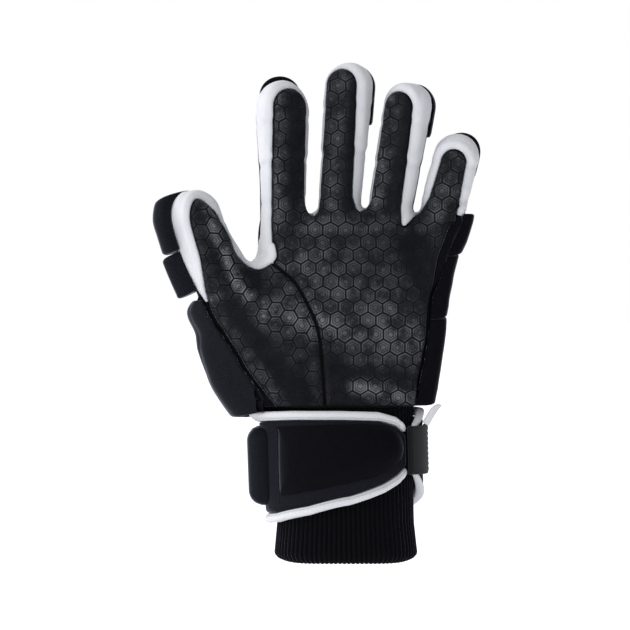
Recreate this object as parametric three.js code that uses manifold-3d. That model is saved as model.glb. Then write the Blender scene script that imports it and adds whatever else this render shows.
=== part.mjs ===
// A padded field hockey glove for the left hand, in the shape that a worn one has, in millimetres.
// +Z runs from the cuff to the fingertips, -Y is the palm side and -X is the thumb side.
// The origin is the middle of the cuff's open mouth, where the hand goes in.

import * as THREE from "three";
import { mergeVertices } from "three/addons/utils/BufferGeometryUtils.js";
import Module from "manifold-3d";

const wasm = await Module();
wasm.setup();

// Driving sizes
const WALL = 2; // suede, stretch fabric and neoprene walls of the hand
const SEAM = 0.4; // slit between two panels that are sewn edge to edge
const SEAT = 0.65; // room between a curved wall and the pad that is sewn on it
const BAND_SEAT = 0.9; // the same for a pad that bridges several walls
const RIM = 0.35; // a pad's thickness at its edge, as a share of its full thickness
const ROUNDNESS = 2.3; // exponent of the superellipse sections, where 2 is an ellipse
const HEM_Z = 92; // lower edge of the hand's walls
const GUSSET_BACK = 5.5; // how far the white gussets reach behind the middle plane
const REACH = 120; // how far a cutting prism reaches past the walls

// Fingers. The centre line runs from root to tip, and turn is how far the palm side faces +X. The printed
// strip has half widths panelTip and panelRoot and starts at panelFrom, with tipMargin of white above it.
// The white gussets start at whiteFrom, and pads says where each foam pad on the finger's back starts.
const FINGERS = [
  { name: "index", rootX: -35.5, rootZ: 172, tipX: -36.6, tipZ: 280, root: 13.6, waist: 13.2, bulb: 15.2,
    depth: 13, turn: 20, curl: 7, panelTip: 11.2, panelRoot: 10.8, panelFrom: 15, tipMargin: 3.5,
    whiteFrom: 6, pads: [38, 60, 82] },
  { name: "middle", rootX: -6, rootZ: 172, tipX: 3, tipZ: 290, root: 12.8, waist: 12.6, bulb: 13.8,
    depth: 13, turn: -17, curl: 9, panelTip: 10.3, panelRoot: 11, panelFrom: 15, tipMargin: 2.5,
    whiteFrom: 26, pads: [37, 61, 85] },
  { name: "ring", rootX: 20.5, rootZ: 172, tipX: 38.4, tipZ: 278.5, root: 12.6, waist: 13, bulb: 13.8,
    depth: 12.6, turn: -22, curl: 9, panelTip: 9.9, panelRoot: 10.6, panelFrom: 15, tipMargin: 5,
    whiteFrom: 23, pads: [36, 58, 80] },
  { name: "little", rootX: 48, rootZ: 170, tipX: 67.5, tipZ: 249, root: 8.5, waist: 13, bulb: 12.6,
    depth: 12, turn: -5, curl: 8, panelTip: 7.9, panelRoot: 10, panelFrom: 31, tipMargin: 8.5,
    whiteFrom: 24, whiteRight: 36, pads: [41, 60] },
];

// Thumb. Each row is a point of its centre line, with the half width across and the half depth.
const THUMB_ROWS = [
  { x: -30, z: 100, half: 22, depth: 19 },
  { x: -43, z: 120, half: 20, depth: 19 },
  { x: -57, z: 142, half: 17.5, depth: 18 },
  { x: -69, z: 162, half: 17.3, depth: 16.5 },
  { x: -79, z: 182, half: 16.6, depth: 15.5 },
  { x: -86, z: 201, half: 15.4, depth: 14.5 },
];
const THUMB_TIP = { x: -91.4, z: 216 };
const THUMB_TURN = 50; // how far the thumb's inner side faces away from the palm's side
const THUMB_CURL = 8;

// Hand. Each row is a level with the left and right reach, and the half depth.
const HAND_ROWS = [
  { z: 92, left: -62, right: 43, depth: 24 },
  { z: 102, left: -69, right: 44.5, depth: 23 },
  { z: 116, left: -75, right: 47.5, depth: 22 },
  { z: 132, left: -79.5, right: 50.5, depth: 21 },
  { z: 152, left: -84, right: 53, depth: 19.7 },
  { z: 164, left: -62, right: 54.5, depth: 19 },
  { z: 180, left: -52, right: 57, depth: 18 },
  { z: 194, left: -49, right: 62, depth: 15.5 },
  { z: 203.5, left: -46, right: 66, depth: 9.5 },
];
const WEBS = [
  { x: -17.8, z: 202.5 },
  { x: 8.8, z: 205.4 },
  { x: 33.8, z: 196 },
];

// Wrist. The knitted cuff's outside, level by level. Its top is tucked inside the hand's walls.
const CUFF_ROWS = [
  { z: 0, left: -39.2, right: 40.2, depth: 28 },
  { z: 4, left: -41.3, right: 42.3, depth: 29.4 },
  { z: 24, left: -39.6, right: 40.2, depth: 27.8 },
  { z: 78, left: -41.5, right: 39, depth: 23.8 },
  { z: 98, left: -59.5, right: 40.4, depth: 20 },
];
const CUFF_WALL = 2.6;
const CUFF_RIBS = 40;
const RIB_DEPTH = 0.9;
const HEM_TILT = 0.115; // the cuff's mouth dips to the back, in millimetres for each millimetre

// Wrap. Each row is an angle round the wrist with the levels of its bound top and bottom edges.
const WRAP_ROWS = [
  { angle: 64, top: 81.5, bottom: 52 },
  { angle: 90, top: 90.5, bottom: 40 },
  { angle: 125, top: 91, bottom: 31 },
  { angle: 180, top: 91, bottom: 26 },
  { angle: 270, top: 87.5, bottom: 23.5 },
  { angle: 300, top: 89, bottom: 24.5 },
  { angle: 335, top: 90, bottom: 29 },
  { angle: 362, top: 90, bottom: 35 },
  { angle: 388, top: 89.3, bottom: 42 },
  { angle: 402, top: 86.5, bottom: 47 },
  { angle: 413, top: 81.5, bottom: 52.5 },
];
const WRAP_GAP = 0.9; // between the knit and the wrap
const WRAP_WALL = 5.5;
const WRAP_SEAM = 0.35; // slit between the wrap and the piping on its edges
const PIPING = { height: 5.2, depth: 6.4 };
const STRAP = { from: 411, to: 460, low: 52.5, high: 81, wall: 1.8 };

// Moulded pads of the wrap. Each row is an angle round the wrist with the pad's lower and upper level there.
const FRONT_PAD_ROWS = [
  { angle: 305, low: 43, high: 77 },
  { angle: 312, low: 40.5, high: 81 },
  { angle: 342, low: 44, high: 82.5 },
  { angle: 375, low: 51, high: 83 },
  { angle: 395, low: 57, high: 80 },
  { angle: 404, low: 63, high: 72 },
];
const FRONT_PAD_RISE = 5.5;
const SIDE_PAD_ROWS = [
  { angle: 195, low: 34, high: 80 },
  { angle: 292, low: 34, high: 80 },
];
const SIDE_PAD_RISE = 8.5;

// Foam pads on the back of the hand. from and to are angles round the hand.
const FOAM = 7;
const FINGER_FOAM = 6;
const BANDS = [
  { name: "knuckle_band", low: 181.5, high: 205.5, from: 68, to: 240 },
  { name: "hand_band", low: 145, high: 179.5, from: 69, to: 232 },
  { name: "heel_band", low: 100, high: 143, from: 69, to: 230 },
];
const THUMB_PADS = [
  { name: "thumb_mid_pad", from: 3.08, to: 4.2, rise: 10 },
  { name: "thumb_tip_pad", from: 4.32, to: 5.75, rise: 9 },
];
const THUMB_BASE_PAD = { low: 86, high: 147, from: 236, to: 297, rise: 8.5 };

// Small vector helpers
const vec = (x, y, z) => new THREE.Vector3(x, y, z);
const turned = (degrees) => THREE.MathUtils.degToRad(degrees);
const power = (value, exponent) => Math.sign(value) * Math.abs(value) ** exponent;
const mix = THREE.MathUtils.lerp;

// The value of a named column at a level, on straight lines between the rows.
function column(rows, key, name, at) {
  const last = rows.length - 1;
  let i = rows.findIndex((row) => row[key] > at) - 1;
  if (i < 0) i = at <= rows[0][key] ? 0 : last - 1;
  const share = (at - rows[i][key]) / (rows[i + 1][key] - rows[i][key]);
  return mix(rows[i][name], rows[i + 1][name], THREE.MathUtils.clamp(share, 0, 1));
}

// A closed three.js geometry as a solid that can be joined and cut.
function solidOf(geometry) {
  const bare = geometry.index ? geometry.toNonIndexed() : geometry.clone();
  for (const name of ["normal", "uv"]) bare.deleteAttribute(name);
  const merged = mergeVertices(bare, 1e-3);
  const triVerts = new Uint32Array(merged.index.array);
  return new wasm.Manifold(
    new wasm.Mesh({ numProp: 3, vertProperties: merged.attributes.position.array, triVerts }),
  );
}

// A solid from rings of points, each ring running anticlockwise seen from the end of the loft.
function loft(rings) {
  const sides = rings[0].length;
  const points = rings.flat();
  const faces = [];
  for (let r = 0; r < rings.length - 1; r++) {
    for (let i = 0; i < sides; i++) {
      const next = (i + 1) % sides;
      const [a, b] = [r * sides + i, r * sides + next];
      faces.push(a, b, b + sides, a, b + sides, a + sides);
    }
  }
  const middle = (ring) => ring.reduce((sum, p) => sum.add(p), vec(0, 0, 0)).divideScalar(sides);
  const first = points.push(middle(rings[0])) - 1;
  const last = points.push(middle(rings.at(-1))) - 1;
  const top = (rings.length - 1) * sides;
  for (let i = 0; i < sides; i++) {
    const next = (i + 1) % sides;
    faces.push(first, next, i, last, top + i, top + next);
  }
  const geometry = new THREE.BufferGeometry().setFromPoints(points);
  geometry.setIndex(faces);
  return solidOf(geometry);
}

// A closed sheet: at(u, v, side) gives its under side where side is 0 and its outer side where side is 1.
function sheet(at, uSteps, vSteps) {
  const rings = [];
  for (let v = 0; v <= vSteps; v++) {
    const under = [];
    const outer = [];
    for (let u = 0; u <= uSteps; u++) {
      under.push(at(u / uSteps, v / vSteps, 0));
      outer.push(at(u / uSteps, v / vSteps, 1));
    }
    rings.push([...outer, ...under.reverse()]);
  }
  const points = rings.flat();
  const sides = rings[0].length;
  const faces = [];
  const quad = (a, b, c, d) => faces.push(a, b, c, a, c, d);
  for (let r = 0; r < vSteps; r++) {
    for (let i = 0; i < sides; i++) {
      const [a, b] = [r * sides + i, r * sides + ((i + 1) % sides)];
      quad(a, b, b + sides, a + sides);
    }
  }
  const end = vSteps * sides;
  for (let u = 0; u < uSteps; u++) {
    const [near, far] = [sides - 1 - u, sides - 2 - u];
    quad(u, near, far, u + 1);
    quad(end + u, end + u + 1, end + far, end + near);
  }
  const geometry = new THREE.BufferGeometry().setFromPoints(points);
  geometry.setIndex(faces);
  return solidOf(geometry);
}

// A solid that faces out, whichever way its rings ran.
function facingOut(solid) {
  if (solid.volume() > 0) return solid;
  const mesh = solid.getMesh();
  const triVerts = mesh.triVerts.slice();
  for (let i = 0; i < triVerts.length; i += 3) {
    [triVerts[i + 1], triVerts[i + 2]] = [triVerts[i + 2], triVerts[i + 1]];
  }
  return new wasm.Manifold(new wasm.Mesh({ numProp: 3, vertProperties: mesh.vertProperties, triVerts }));
}

function meshOf(solid) {
  const { vertProperties, triVerts } = solid.getMesh();
  const geometry = new THREE.BufferGeometry();
  geometry.setAttribute("position", new THREE.BufferAttribute(new Float32Array(vertProperties), 3));
  geometry.setIndex(new THREE.BufferAttribute(new Uint32Array(triVerts), 1));
  geometry.computeVertexNormals();
  return new THREE.Mesh(geometry);
}

// A prism of a flat outline, along the third axis of a frame.
function prism(shape, frame, from, to) {
  const depth = to - from;
  const geometry = new THREE.ExtrudeGeometry(shape, { depth, bevelEnabled: false, curveSegments: 4 });
  geometry.translate(0, 0, from).applyMatrix4(frame);
  return solidOf(geometry);
}

const join = (solids) => solids.reduce((all, solid) => all.add(solid));

// The largest body of a cut solid, without the crumbs that a cut can leave.
function largest(solid) {
  const bodies = solid.decompose();
  return bodies.reduce((best, body) => (body.volume() > best.volume() ? body : best));
}

// Finger shape
const FINGER_SIDES = 12;
const CAP = 13; // length of a fingertip's round end

for (const finger of FINGERS) {
  const line = vec(finger.tipX - finger.rootX, 0, finger.tipZ - finger.rootZ);
  finger.length = line.length();
  finger.axis = line.normalize();
  const across = vec(finger.axis.z, 0, -finger.axis.x);
  const palmward = vec(0, -1, 0);
  const [c, s] = [Math.cos(turned(finger.turn)), Math.sin(turned(finger.turn))];
  finger.across = across.clone().multiplyScalar(c).addScaledVector(palmward, -s);
  finger.front = palmward.clone().multiplyScalar(c).addScaledVector(across, s);
  finger.start = vec(finger.rootX, 0, finger.rootZ);
  finger.widths = [
    { t: 0, half: finger.root },
    { t: 0.45, half: finger.waist },
    { t: 0.8, half: finger.bulb },
    { t: 1, half: finger.bulb },
  ];
}

// A point of a finger's skin. way runs from 0 at the root to 1 where the tip starts to round and 2 at its
// end; angle is 0 at the palm side and 90 at the little finger's side; grow is how far outside the skin.
function fingerPoint(finger, way, angle, grow) {
  const body = finger.length - CAP;
  const rise = turned(Math.max(0, way - 1) * 90);
  const along = Math.min(way, 1) * body + Math.sin(rise) * (CAP + grow);
  const t = Math.min(1, along / finger.length);
  const half = (column(finger.widths, "t", "half", t) + grow) * Math.cos(rise);
  const depth = (finger.depth + grow) * Math.cos(rise);
  const exponent = 2 / ROUNDNESS;
  return finger.start
    .clone()
    .addScaledVector(finger.axis, along)
    .addScaledVector(finger.across, half * power(Math.sin(turned(angle)), exponent))
    .addScaledVector(finger.front, depth * power(Math.cos(turned(angle)), exponent))
    .add(vec(0, -finger.curl * t * t, 0));
}

const angles = (sides) => Array.from({ length: sides }, (_, i) => (i * 360) / sides);

function fingerSolid(finger, grow) {
  const ways = [0, 0.5, 1, 1.45, 1.8];
  return loft(ways.map((way) => angles(FINGER_SIDES).map((angle) => fingerPoint(finger, way, angle, grow))));
}

// Thumb shape
const THUMB_SIDES = 12;
const THUMB_CAP = Math.hypot(THUMB_TIP.x - THUMB_ROWS.at(-1).x, THUMB_TIP.z - THUMB_ROWS.at(-1).z);

// A point of the thumb's skin. way counts the rows, and runs one past the last of them over the round tip.
function thumbPoint(way, angle, grow) {
  const last = THUMB_ROWS.length - 1;
  const i = Math.min(Math.floor(way), last - 1);
  const share = Math.min(way, last) - i;
  const rise = turned(Math.max(0, way - last) * 90);
  const [a, b] = [THUMB_ROWS[i], THUMB_ROWS[i + 1]];
  const before = THUMB_ROWS[Math.max(0, i - 1)];
  const after = i + 2 <= last ? THUMB_ROWS[i + 2] : THUMB_TIP;
  const slope = (p, q) => vec(q.x - p.x, 0, q.z - p.z).normalize();
  const axis = slope(before, b).lerp(slope(a, after), share).normalize();
  const across = vec(axis.z, 0, -axis.x);
  const palmward = vec(0, -1, 0);
  const [c, s] = [Math.cos(turned(THUMB_TURN)), Math.sin(turned(THUMB_TURN))];
  const side = across.clone().multiplyScalar(c).addScaledVector(palmward, -s);
  const front = palmward.clone().multiplyScalar(c).addScaledVector(across, s);
  const half = (mix(a.half, b.half, share) + grow) * Math.cos(rise);
  const depth = (mix(a.depth, b.depth, share) + grow) * Math.cos(rise);
  const exponent = 2 / ROUNDNESS;
  const t = Math.min(1, way / last);
  return vec(mix(a.x, b.x, share), -THUMB_CURL * t * t, mix(a.z, b.z, share))
    .addScaledVector(axis, Math.sin(rise) * (THUMB_CAP + grow))
    .addScaledVector(side, half * power(Math.sin(turned(angle)), exponent))
    .addScaledVector(front, depth * power(Math.cos(turned(angle)), exponent));
}

function thumbSolid(grow) {
  const ways = [0, 1, 2, 3, 4, 5, 5.45, 5.8];
  return loft(ways.map((way) => angles(THUMB_SIDES).map((angle) => thumbPoint(way, angle, grow))));
}

// Hand shape
const HAND_SIDES = 20;

// A point of the hand's skin at a level; angle is 0 at the palm side and 90 at the little finger's side.
function handPoint(z, angle, grow) {
  const left = column(HAND_ROWS, "z", "left", z) - grow;
  const right = column(HAND_ROWS, "z", "right", z) + grow;
  const cos = power(Math.cos(turned(angle)), 2 / ROUNDNESS);
  const depth = column(HAND_ROWS, "z", "depth", z) + grow;
  const half = (right - left) / 2;
  return vec((left + right) / 2 + half * power(Math.sin(turned(angle)), 2 / ROUNDNESS), -depth * cos, z);
}

function handSolid(grow, openBelow) {
  const rings = HAND_ROWS.map(({ z }) => angles(HAND_SIDES).map((angle) => handPoint(z, angle, grow)));
  if (openBelow) rings.unshift(rings[0].map((p) => p.clone().setZ(HEM_Z - openBelow)));
  if (grow < 0) rings.at(-1).forEach((p) => p.setZ(p.z + grow));
  return loft(rings);
}

const skin = join([handSolid(0, 0), thumbSolid(0), ...FINGERS.map((finger) => fingerSolid(finger, 0))]);
const hemPlate = new THREE.Shape().absarc(0, 0, 2 * REACH, 0, 2 * Math.PI);
const belowHem = prism(hemPlate, new THREE.Matrix4(), HEM_Z - 60, HEM_Z);
const hollow = join([
  handSolid(-WALL, 10), thumbSolid(-WALL), ...FINGERS.map((finger) => fingerSolid(finger, -WALL)),
]);
const shell = skin.subtract(hollow).subtract(belowHem);

// Outlines on the palm side. Each is seen from the palm, x to the little finger and z up, in order round it.
const PALM_OUTLINE = [
  { x: -11.3, z: 80 }, { x: 41.5, z: 80 }, { x: 42.2, z: 93 }, { x: 44.1, z: 112.6 }, { x: 47.8, z: 131.6 },
  { x: 48.3, z: 146 }, { x: 51.7, z: 163.4 }, { x: 53.8, z: 177.5 }, { x: 58.8, z: 191.7 },
  { x: 63, z: 201 },
  { x: 48, z: 201 }, { ...WEBS[2] }, { x: 24, z: 204 }, { ...WEBS[1] }, { x: -4, z: 205 }, { ...WEBS[0] },
  { x: -30, z: 203 }, { x: -42, z: 200 }, { x: -42, z: 190 }, { x: -40, z: 180.4 }, { x: -42.6, z: 174.7 },
  { x: -36.2, z: 169.8 }, { x: -29.1, z: 163.4 }, { x: -24.2, z: 155.6 }, { x: -19.9, z: 147.1 },
  { x: -16.4, z: 138.6 }, { x: -14.3, z: 128 }, { x: -13, z: 112.6 },
];
const THUMB_OUTLINE = [
  { x: -11.3, z: 80 }, { x: -13, z: 112.6 }, { x: -14.3, z: 128 }, { x: -16.4, z: 138.6 },
  { x: -19.9, z: 147.1 }, { x: -24.2, z: 155.6 }, { x: -29.1, z: 163.4 }, { x: -36.2, z: 169.8 },
  { x: -42.6, z: 174.7 }, { x: -50.4, z: 171.5 }, { x: -58.1, z: 176.1 }, { x: -63, z: 182.5 },
  { x: -64, z: 192 }, { x: -68.9, z: 197.2 }, { x: -73.6, z: 203.1 }, { x: -78.6, z: 206.6 },
  { x: -86, z: 212 }, { x: -89, z: 206 }, { x: -89.1, z: 198.7 }, { x: -85.7, z: 188.1 },
  { x: -83.2, z: 179.7 }, { x: -82.2, z: 156.4 }, { x: -75.9, z: 143.5 }, { x: -63, z: 124.5 },
  { x: -56, z: 112.6 }, { x: -38.7, z: 90.4 }, { x: -31, z: 80 },
];
const THUMB_WHITE_OUTLINE = [
  { x: -82.2, z: 154 }, { x: -91.3, z: 166.9 }, { x: -96.3, z: 175.4 }, { x: -100, z: 183 },
  { x: -102, z: 192 }, { x: -101, z: 203 }, { x: -97.7, z: 212.2 }, { x: -92, z: 222 },
  { x: -60, z: 222 }, { x: -60, z: 195 },
  { x: -35.6, z: 186 }, { x: -35.6, z: 160 },
];

// An outline moved out by a margin, corner by corner.
function outlineShape(outline, margin) {
  const corners = outline.map(({ x, z }) => new THREE.Vector2(x, z));
  const clockwise = THREE.ShapeUtils.isClockWise(corners);
  return new THREE.Shape(
    corners.map((corner, i) => {
      const before = corners.at(i - 1);
      const after = corners[(i + 1) % corners.length];
      const way = after.clone().sub(before).normalize();
      const out = new THREE.Vector2(way.y, -way.x).multiplyScalar(clockwise ? -margin : margin);
      return corner.clone().add(out);
    }),
  );
}

const FROM_PALM = new THREE.Matrix4().makeBasis(vec(1, 0, 0), vec(0, 0, 1), vec(0, -1, 0));
const palmPrism = (outline, margin, from = 0) =>
  prism(outlineShape(outline, margin), FROM_PALM, from, REACH);

// The frame of a finger's cuts: across it, along its curled length, and to its front.
function fingerFrame(finger) {
  const bend = (finger.curl * Math.cos(turned(finger.turn))) / finger.length;
  const along = finger.axis.clone().addScaledVector(finger.front, bend).normalize();
  const front = finger.front.clone().addScaledVector(finger.axis, -bend).normalize();
  return new THREE.Matrix4().makeBasis(finger.across, along, front).setPosition(finger.start);
}

// The printed strip on a finger's front, with a round end under the fingertip.
function fingerStrip(finger, margin) {
  const top = finger.length - finger.tipMargin - finger.panelTip + margin;
  const [tip, root] = [finger.panelTip + margin, finger.panelRoot + margin];
  const shape = new THREE.Shape();
  shape.moveTo(-root, finger.panelFrom);
  shape.lineTo(root, finger.panelFrom);
  shape.lineTo(tip, top);
  shape.absellipse(0, top, tip, tip, 0, Math.PI, false);
  return prism(shape, fingerFrame(finger), 0, 30);
}

// A box round one finger, from behind its middle plane to well in front, where the white gussets lie.
function fingerZone(finger, margin) {
  const wide = finger.bulb + 2.5 + margin;
  const [left, right] = [finger.whiteFrom - margin, (finger.whiteRight ?? finger.whiteFrom) - margin];
  const shape = new THREE.Shape();
  shape.moveTo(-wide, left);
  shape.lineTo(0, left);
  shape.lineTo(0, right);
  shape.lineTo(wide, right);
  shape.lineTo(wide, finger.length + 10);
  shape.lineTo(-wide, finger.length + 10);
  return prism(shape, fingerFrame(finger), -GUSSET_BACK - margin, 40);
}

const palmZone = (margin) =>
  join([palmPrism(PALM_OUTLINE, margin), ...FINGERS.map((finger) => fingerStrip(finger, margin))]);
const thumbZone = (margin) => palmPrism(THUMB_OUTLINE, margin);
const whiteZone = (margin) =>
  join([
    palmPrism(THUMB_WHITE_OUTLINE, margin, -GUSSET_BACK - margin),
    ...FINGERS.map((finger) => fingerZone(finger, margin)),
  ]);

// A thin slab in the middle plane of a fingertip, where the gussets of its two sides meet.
function tipSlit({ start, axis, across, front }, from) {
  const shape = new THREE.Shape();
  shape.moveTo(-SEAM / 2, from);
  shape.lineTo(SEAM / 2, from);
  shape.lineTo(SEAM / 2, REACH * 1.5);
  shape.lineTo(-SEAM / 2, REACH * 1.5);
  const frame = new THREE.Matrix4().makeBasis(across, axis, front);
  return prism(shape, frame.setPosition(start), -40, 40);
}

const thumbEnd = THUMB_ROWS.at(-1);
const thumbAxis = vec(THUMB_TIP.x - thumbEnd.x, 0, THUMB_TIP.z - thumbEnd.z).normalize();
const thumbMiddle = {
  start: vec(thumbEnd.x, 0, thumbEnd.z),
  axis: thumbAxis,
  across: vec(thumbAxis.z, 0, -thumbAxis.x),
  front: vec(0, -1, 0),
};
const slits = join([
  tipSlit(thumbMiddle, -30), ...FINGERS.map((finger) => tipSlit(finger, finger.length - 2 * CAP)),
]);

const palmPanel = largest(shell.intersect(palmZone(0)));
const thumbPanel = largest(shell.intersect(thumbZone(0)).subtract(palmZone(SEAM)));
const printed = palmZone(SEAM).add(thumbZone(SEAM));
const backPanel = largest(shell.subtract(whiteZone(SEAM)).subtract(printed));

// The white gussets, from the thumb's outer side to the little finger's.
const GUSSET_NAMES = [
  "thumb_side", "thumb_index", "index_middle", "middle_ring", "ring_little", "little_side",
];
const middleX = (solid) => {
  const { min, max } = solid.boundingBox();
  return min[0] + max[0];
};
const gussets = shell
  .intersect(whiteZone(0))
  .subtract(printed)
  .subtract(slits)
  .decompose()
  .sort((a, b) => b.volume() - a.volume())
  .slice(0, GUSSET_NAMES.length)
  .sort((a, b) => middleX(a) - middleX(b));

// Pads. A pad's thickness falls from its middle to its rim; boxy says how flat its top is.
function dome(u, v, boxy) {
  const share = (1 - Math.abs(2 * u - 1) ** boxy) * (1 - Math.abs(2 * v - 1) ** boxy);
  return RIM + (1 - RIM) * Math.sqrt(share);
}

// A pad on a surface, from one way to another along it and from one angle to another round it.
function padOn(surface, form) {
  const { from, to, low, high, rise, seat = SEAT, uSteps, vSteps, boxy = 5, corner = 0.12 } = form;
  const at = (u, v, side) => {
    const waist = 1 - corner * Math.abs(2 * v - 1) ** 4;
    const angle = mix(low, high, 0.5 + (u - 0.5) * waist);
    return surface(mix(from, to, v), angle, seat + side * rise * dome(u, v, boxy));
  };
  return facingOut(sheet(at, uSteps, vSteps));
}

// How far a target stands out of a surface at a point, looking back at it from outside.
const AWAY = 30;
const MOST_RAISED = 7;
function standOff(target, from, out) {
  const eye = from.clone().addScaledVector(out, AWAY);
  const [hit] = new THREE.Raycaster(eye, out.clone().negate()).intersectObject(target);
  return hit ? Math.max(0, AWAY - hit.distance) : 0;
}

// A surface raised clear of a target, at each point and for a small way along and round it.
function raised(target, surface, along, round) {
  return (way, angle, grow) => {
    const heights = [-along, 0, along].flatMap((w) => [-round, 0, round].map((a) => {
      const from = surface(way + w, angle + a, 0);
      const out = surface(way + w, angle + a, 1).sub(from).normalize();
      return standOff(target, from, out);
    }));
    return surface(way, angle, Math.min(Math.max(...heights), MOST_RAISED) + grow);
  };
}

const PAD_REACH = 47; // angle that a finger's pads reach to each side of its back
const TIP_REACH = 56; // the same for the pad over the fingertip
const TIP_WAY = 1.72; // how far the last pad wraps over the fingertip
const PAD_NAMES = ["root_pad", "mid_pad", "tip_pad"];
const PAD_SLIT = 2; // room between two pads where the finger bends

function fingerPads(finger) {
  const surface = (way, angle, grow) => fingerPoint(finger, way, angle, grow);
  const body = finger.length - CAP;
  return finger.pads.map((start, i) => {
    const end = finger.pads[i + 1];
    const [from, to] = [start / body, end ? (end - PAD_SLIT) / body : TIP_WAY];
    const vSteps = end ? 3 : 6;
    const reach = end ? PAD_REACH : TIP_REACH;
    const sides = { low: 180 - finger.turn / 2 - reach, high: 180 - finger.turn / 2 + reach };
    const name = `${finger.name}_${PAD_NAMES[PAD_NAMES.length - finger.pads.length + i]}`;
    return [name, padOn(surface, { from, to, ...sides, rise: FINGER_FOAM, uSteps: 5, vSteps })];
  });
}

const thumbPads = THUMB_PADS.map(({ name, from, to, rise }) => {
  const vSteps = to > THUMB_ROWS.length - 1 ? 5 : 3;
  return [name, padOn(thumbPoint, { from, to, low: 118, high: 251, rise, uSteps: 6, vSteps })];
});
const overSkin = raised(meshOf(skin), handPoint, 4, 6);
const handPads = [{ name: "thumb_base_pad", ...THUMB_BASE_PAD }, ...BANDS].map((band) => {
  const [from, to, low, high] = [band.low, band.high, band.from, band.to];
  const steps = { uSteps: Math.round((high - low) / 11), vSteps: Math.round((to - from) / 12) };
  const form = { rise: FOAM, ...band, seat: BAND_SEAT, boxy: 9, corner: 0.04 };
  return [band.name, padOn(overSkin, { ...form, from, to, low, high, ...steps })];
});

// Wrist. A point round the cuff at a level; grow is how far outside the ribs.
function cuffPoint(z, angle, grow) {
  const left = column(CUFF_ROWS, "z", "left", z) - grow;
  const right = column(CUFF_ROWS, "z", "right", z) + grow;
  const depth = column(CUFF_ROWS, "z", "depth", z) + grow;
  const x = (left + right) / 2 + ((right - left) / 2) * power(Math.sin(turned(angle)), 2 / ROUNDNESS);
  const y = -depth * power(Math.cos(turned(angle)), 2 / ROUNDNESS);
  const open = Math.max(0, 1 - z / HEM_Z);
  return vec(x, y, z - HEM_TILT * y * open);
}

function cuffSolid(sides, grow, past) {
  const rings = CUFF_ROWS.map(({ z }) => angles(sides).map((angle, i) => cuffPoint(z, angle, grow(i))));
  rings[0].forEach((p) => p.setZ(p.z - past));
  rings.at(-1).forEach((p) => p.setZ(p.z + past));
  return loft(rings);
}

const knitCuff = cuffSolid(CUFF_RIBS * 2, (i) => (i % 2 ? -RIB_DEPTH : 0), 0)
  .subtract(cuffSolid(20, () => -CUFF_WALL, 5));

const WRAP_STEPS = 26;
const wrapRange = [WRAP_ROWS[0].angle, WRAP_ROWS.at(-1).angle];
const wrapEdge = (name, angle) => column(WRAP_ROWS, "angle", name, angle);
const bound = PIPING.height + WRAP_SEAM;
const wristWrap = facingOut(sheet((u, v, side) => {
  const angle = mix(...wrapRange, u);
  const z = mix(wrapEdge("bottom", angle) + bound, wrapEdge("top", angle) - bound, v);
  return cuffPoint(z, angle, WRAP_GAP + side * WRAP_WALL);
}, WRAP_STEPS, 2));

// A rounded bar along the wrap's top or bottom edge.
function piping(name, inward) {
  const rings = Array.from({ length: WRAP_STEPS + 1 }, (_, i) => {
    const angle = mix(...wrapRange, i / WRAP_STEPS);
    const middle = wrapEdge(name, angle) + (inward * PIPING.height) / 2;
    return angles(6).map((turn) => {
      const z = middle + (PIPING.height / 2) * Math.sin(turned(turn));
      const out = WRAP_GAP + WRAP_WALL / 2 + (PIPING.depth / 2) * Math.cos(turned(turn));
      return cuffPoint(z, angle, out);
    });
  });
  return facingOut(loft(rings));
}

// A pad of the wrap between the levels that its rows give.
const wrapSkin = (z, angle, grow) => cuffPoint(z, angle, WRAP_GAP + WRAP_WALL + grow);
const overWrap = raised(meshOf(wristWrap), wrapSkin, 4, 6);
function wrapPad(rows, rise, uSteps, vSteps, boxy) {
  const [first, last] = [rows[0].angle, rows.at(-1).angle];
  return facingOut(sheet((u, v, side) => {
    const angle = mix(first, last, u);
    const z = mix(column(rows, "angle", "low", angle), column(rows, "angle", "high", angle), v);
    return overWrap(z, angle, SEAT + side * rise * dome(u, v, boxy));
  }, uSteps, vSteps));
}

const strapSeat = WRAP_GAP + WRAP_WALL / 2 + PIPING.depth / 2 + WRAP_SEAM;
const strap = facingOut(sheet((u, v, side) => {
  const [z, angle] = [mix(STRAP.low, STRAP.high, v), mix(STRAP.from, STRAP.to, u)];
  return cuffPoint(z, angle, strapSeat + side * STRAP.wall);
}, 7, 2));

const group = new THREE.Group();

const FINISH = {
  suede: { color: 0x1b1c1f, roughness: 0.72 },
  neoprene: { color: 0x17171a, roughness: 0.85 },
  white: { color: 0xe6e8ee, roughness: 0.8 },
  knit: { color: 0x101013, roughness: 0.95 },
  webbing: { color: 0x1c1c1d, roughness: 0.9 },
};

function piece(name, solid, finish) {
  const mesh = meshOf(facingOut(solid));
  mesh.material = new THREE.MeshStandardMaterial({ ...FINISH[finish], metalness: 0 });
  mesh.name = name;
  group.add(mesh);
}

piece("palm_panel", palmPanel, "suede");
piece("thumb_panel", thumbPanel, "suede");
piece("back_panel", backPanel, "neoprene");
GUSSET_NAMES.forEach((name, i) => piece(`gusset_${name}`, gussets[i], "white"));
for (const [name, pad] of [...FINGERS.flatMap(fingerPads), ...thumbPads, ...handPads]) {
  piece(name, pad, "neoprene");
}
piece("knit_cuff", knitCuff, "knit");
piece("wrist_wrap", wristWrap, "neoprene");
piece("piping_top", piping("top", -1), "white");
piece("piping_bottom", piping("bottom", 1), "white");
piece("wrist_front_pad", wrapPad(FRONT_PAD_ROWS, FRONT_PAD_RISE, 10, 6, 6), "neoprene");
piece("wrist_side_pad", wrapPad(SIDE_PAD_ROWS, SIDE_PAD_RISE, 8, 5, 4), "neoprene");
piece("closure_strap", strap, "webbing");

export default group;
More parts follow.
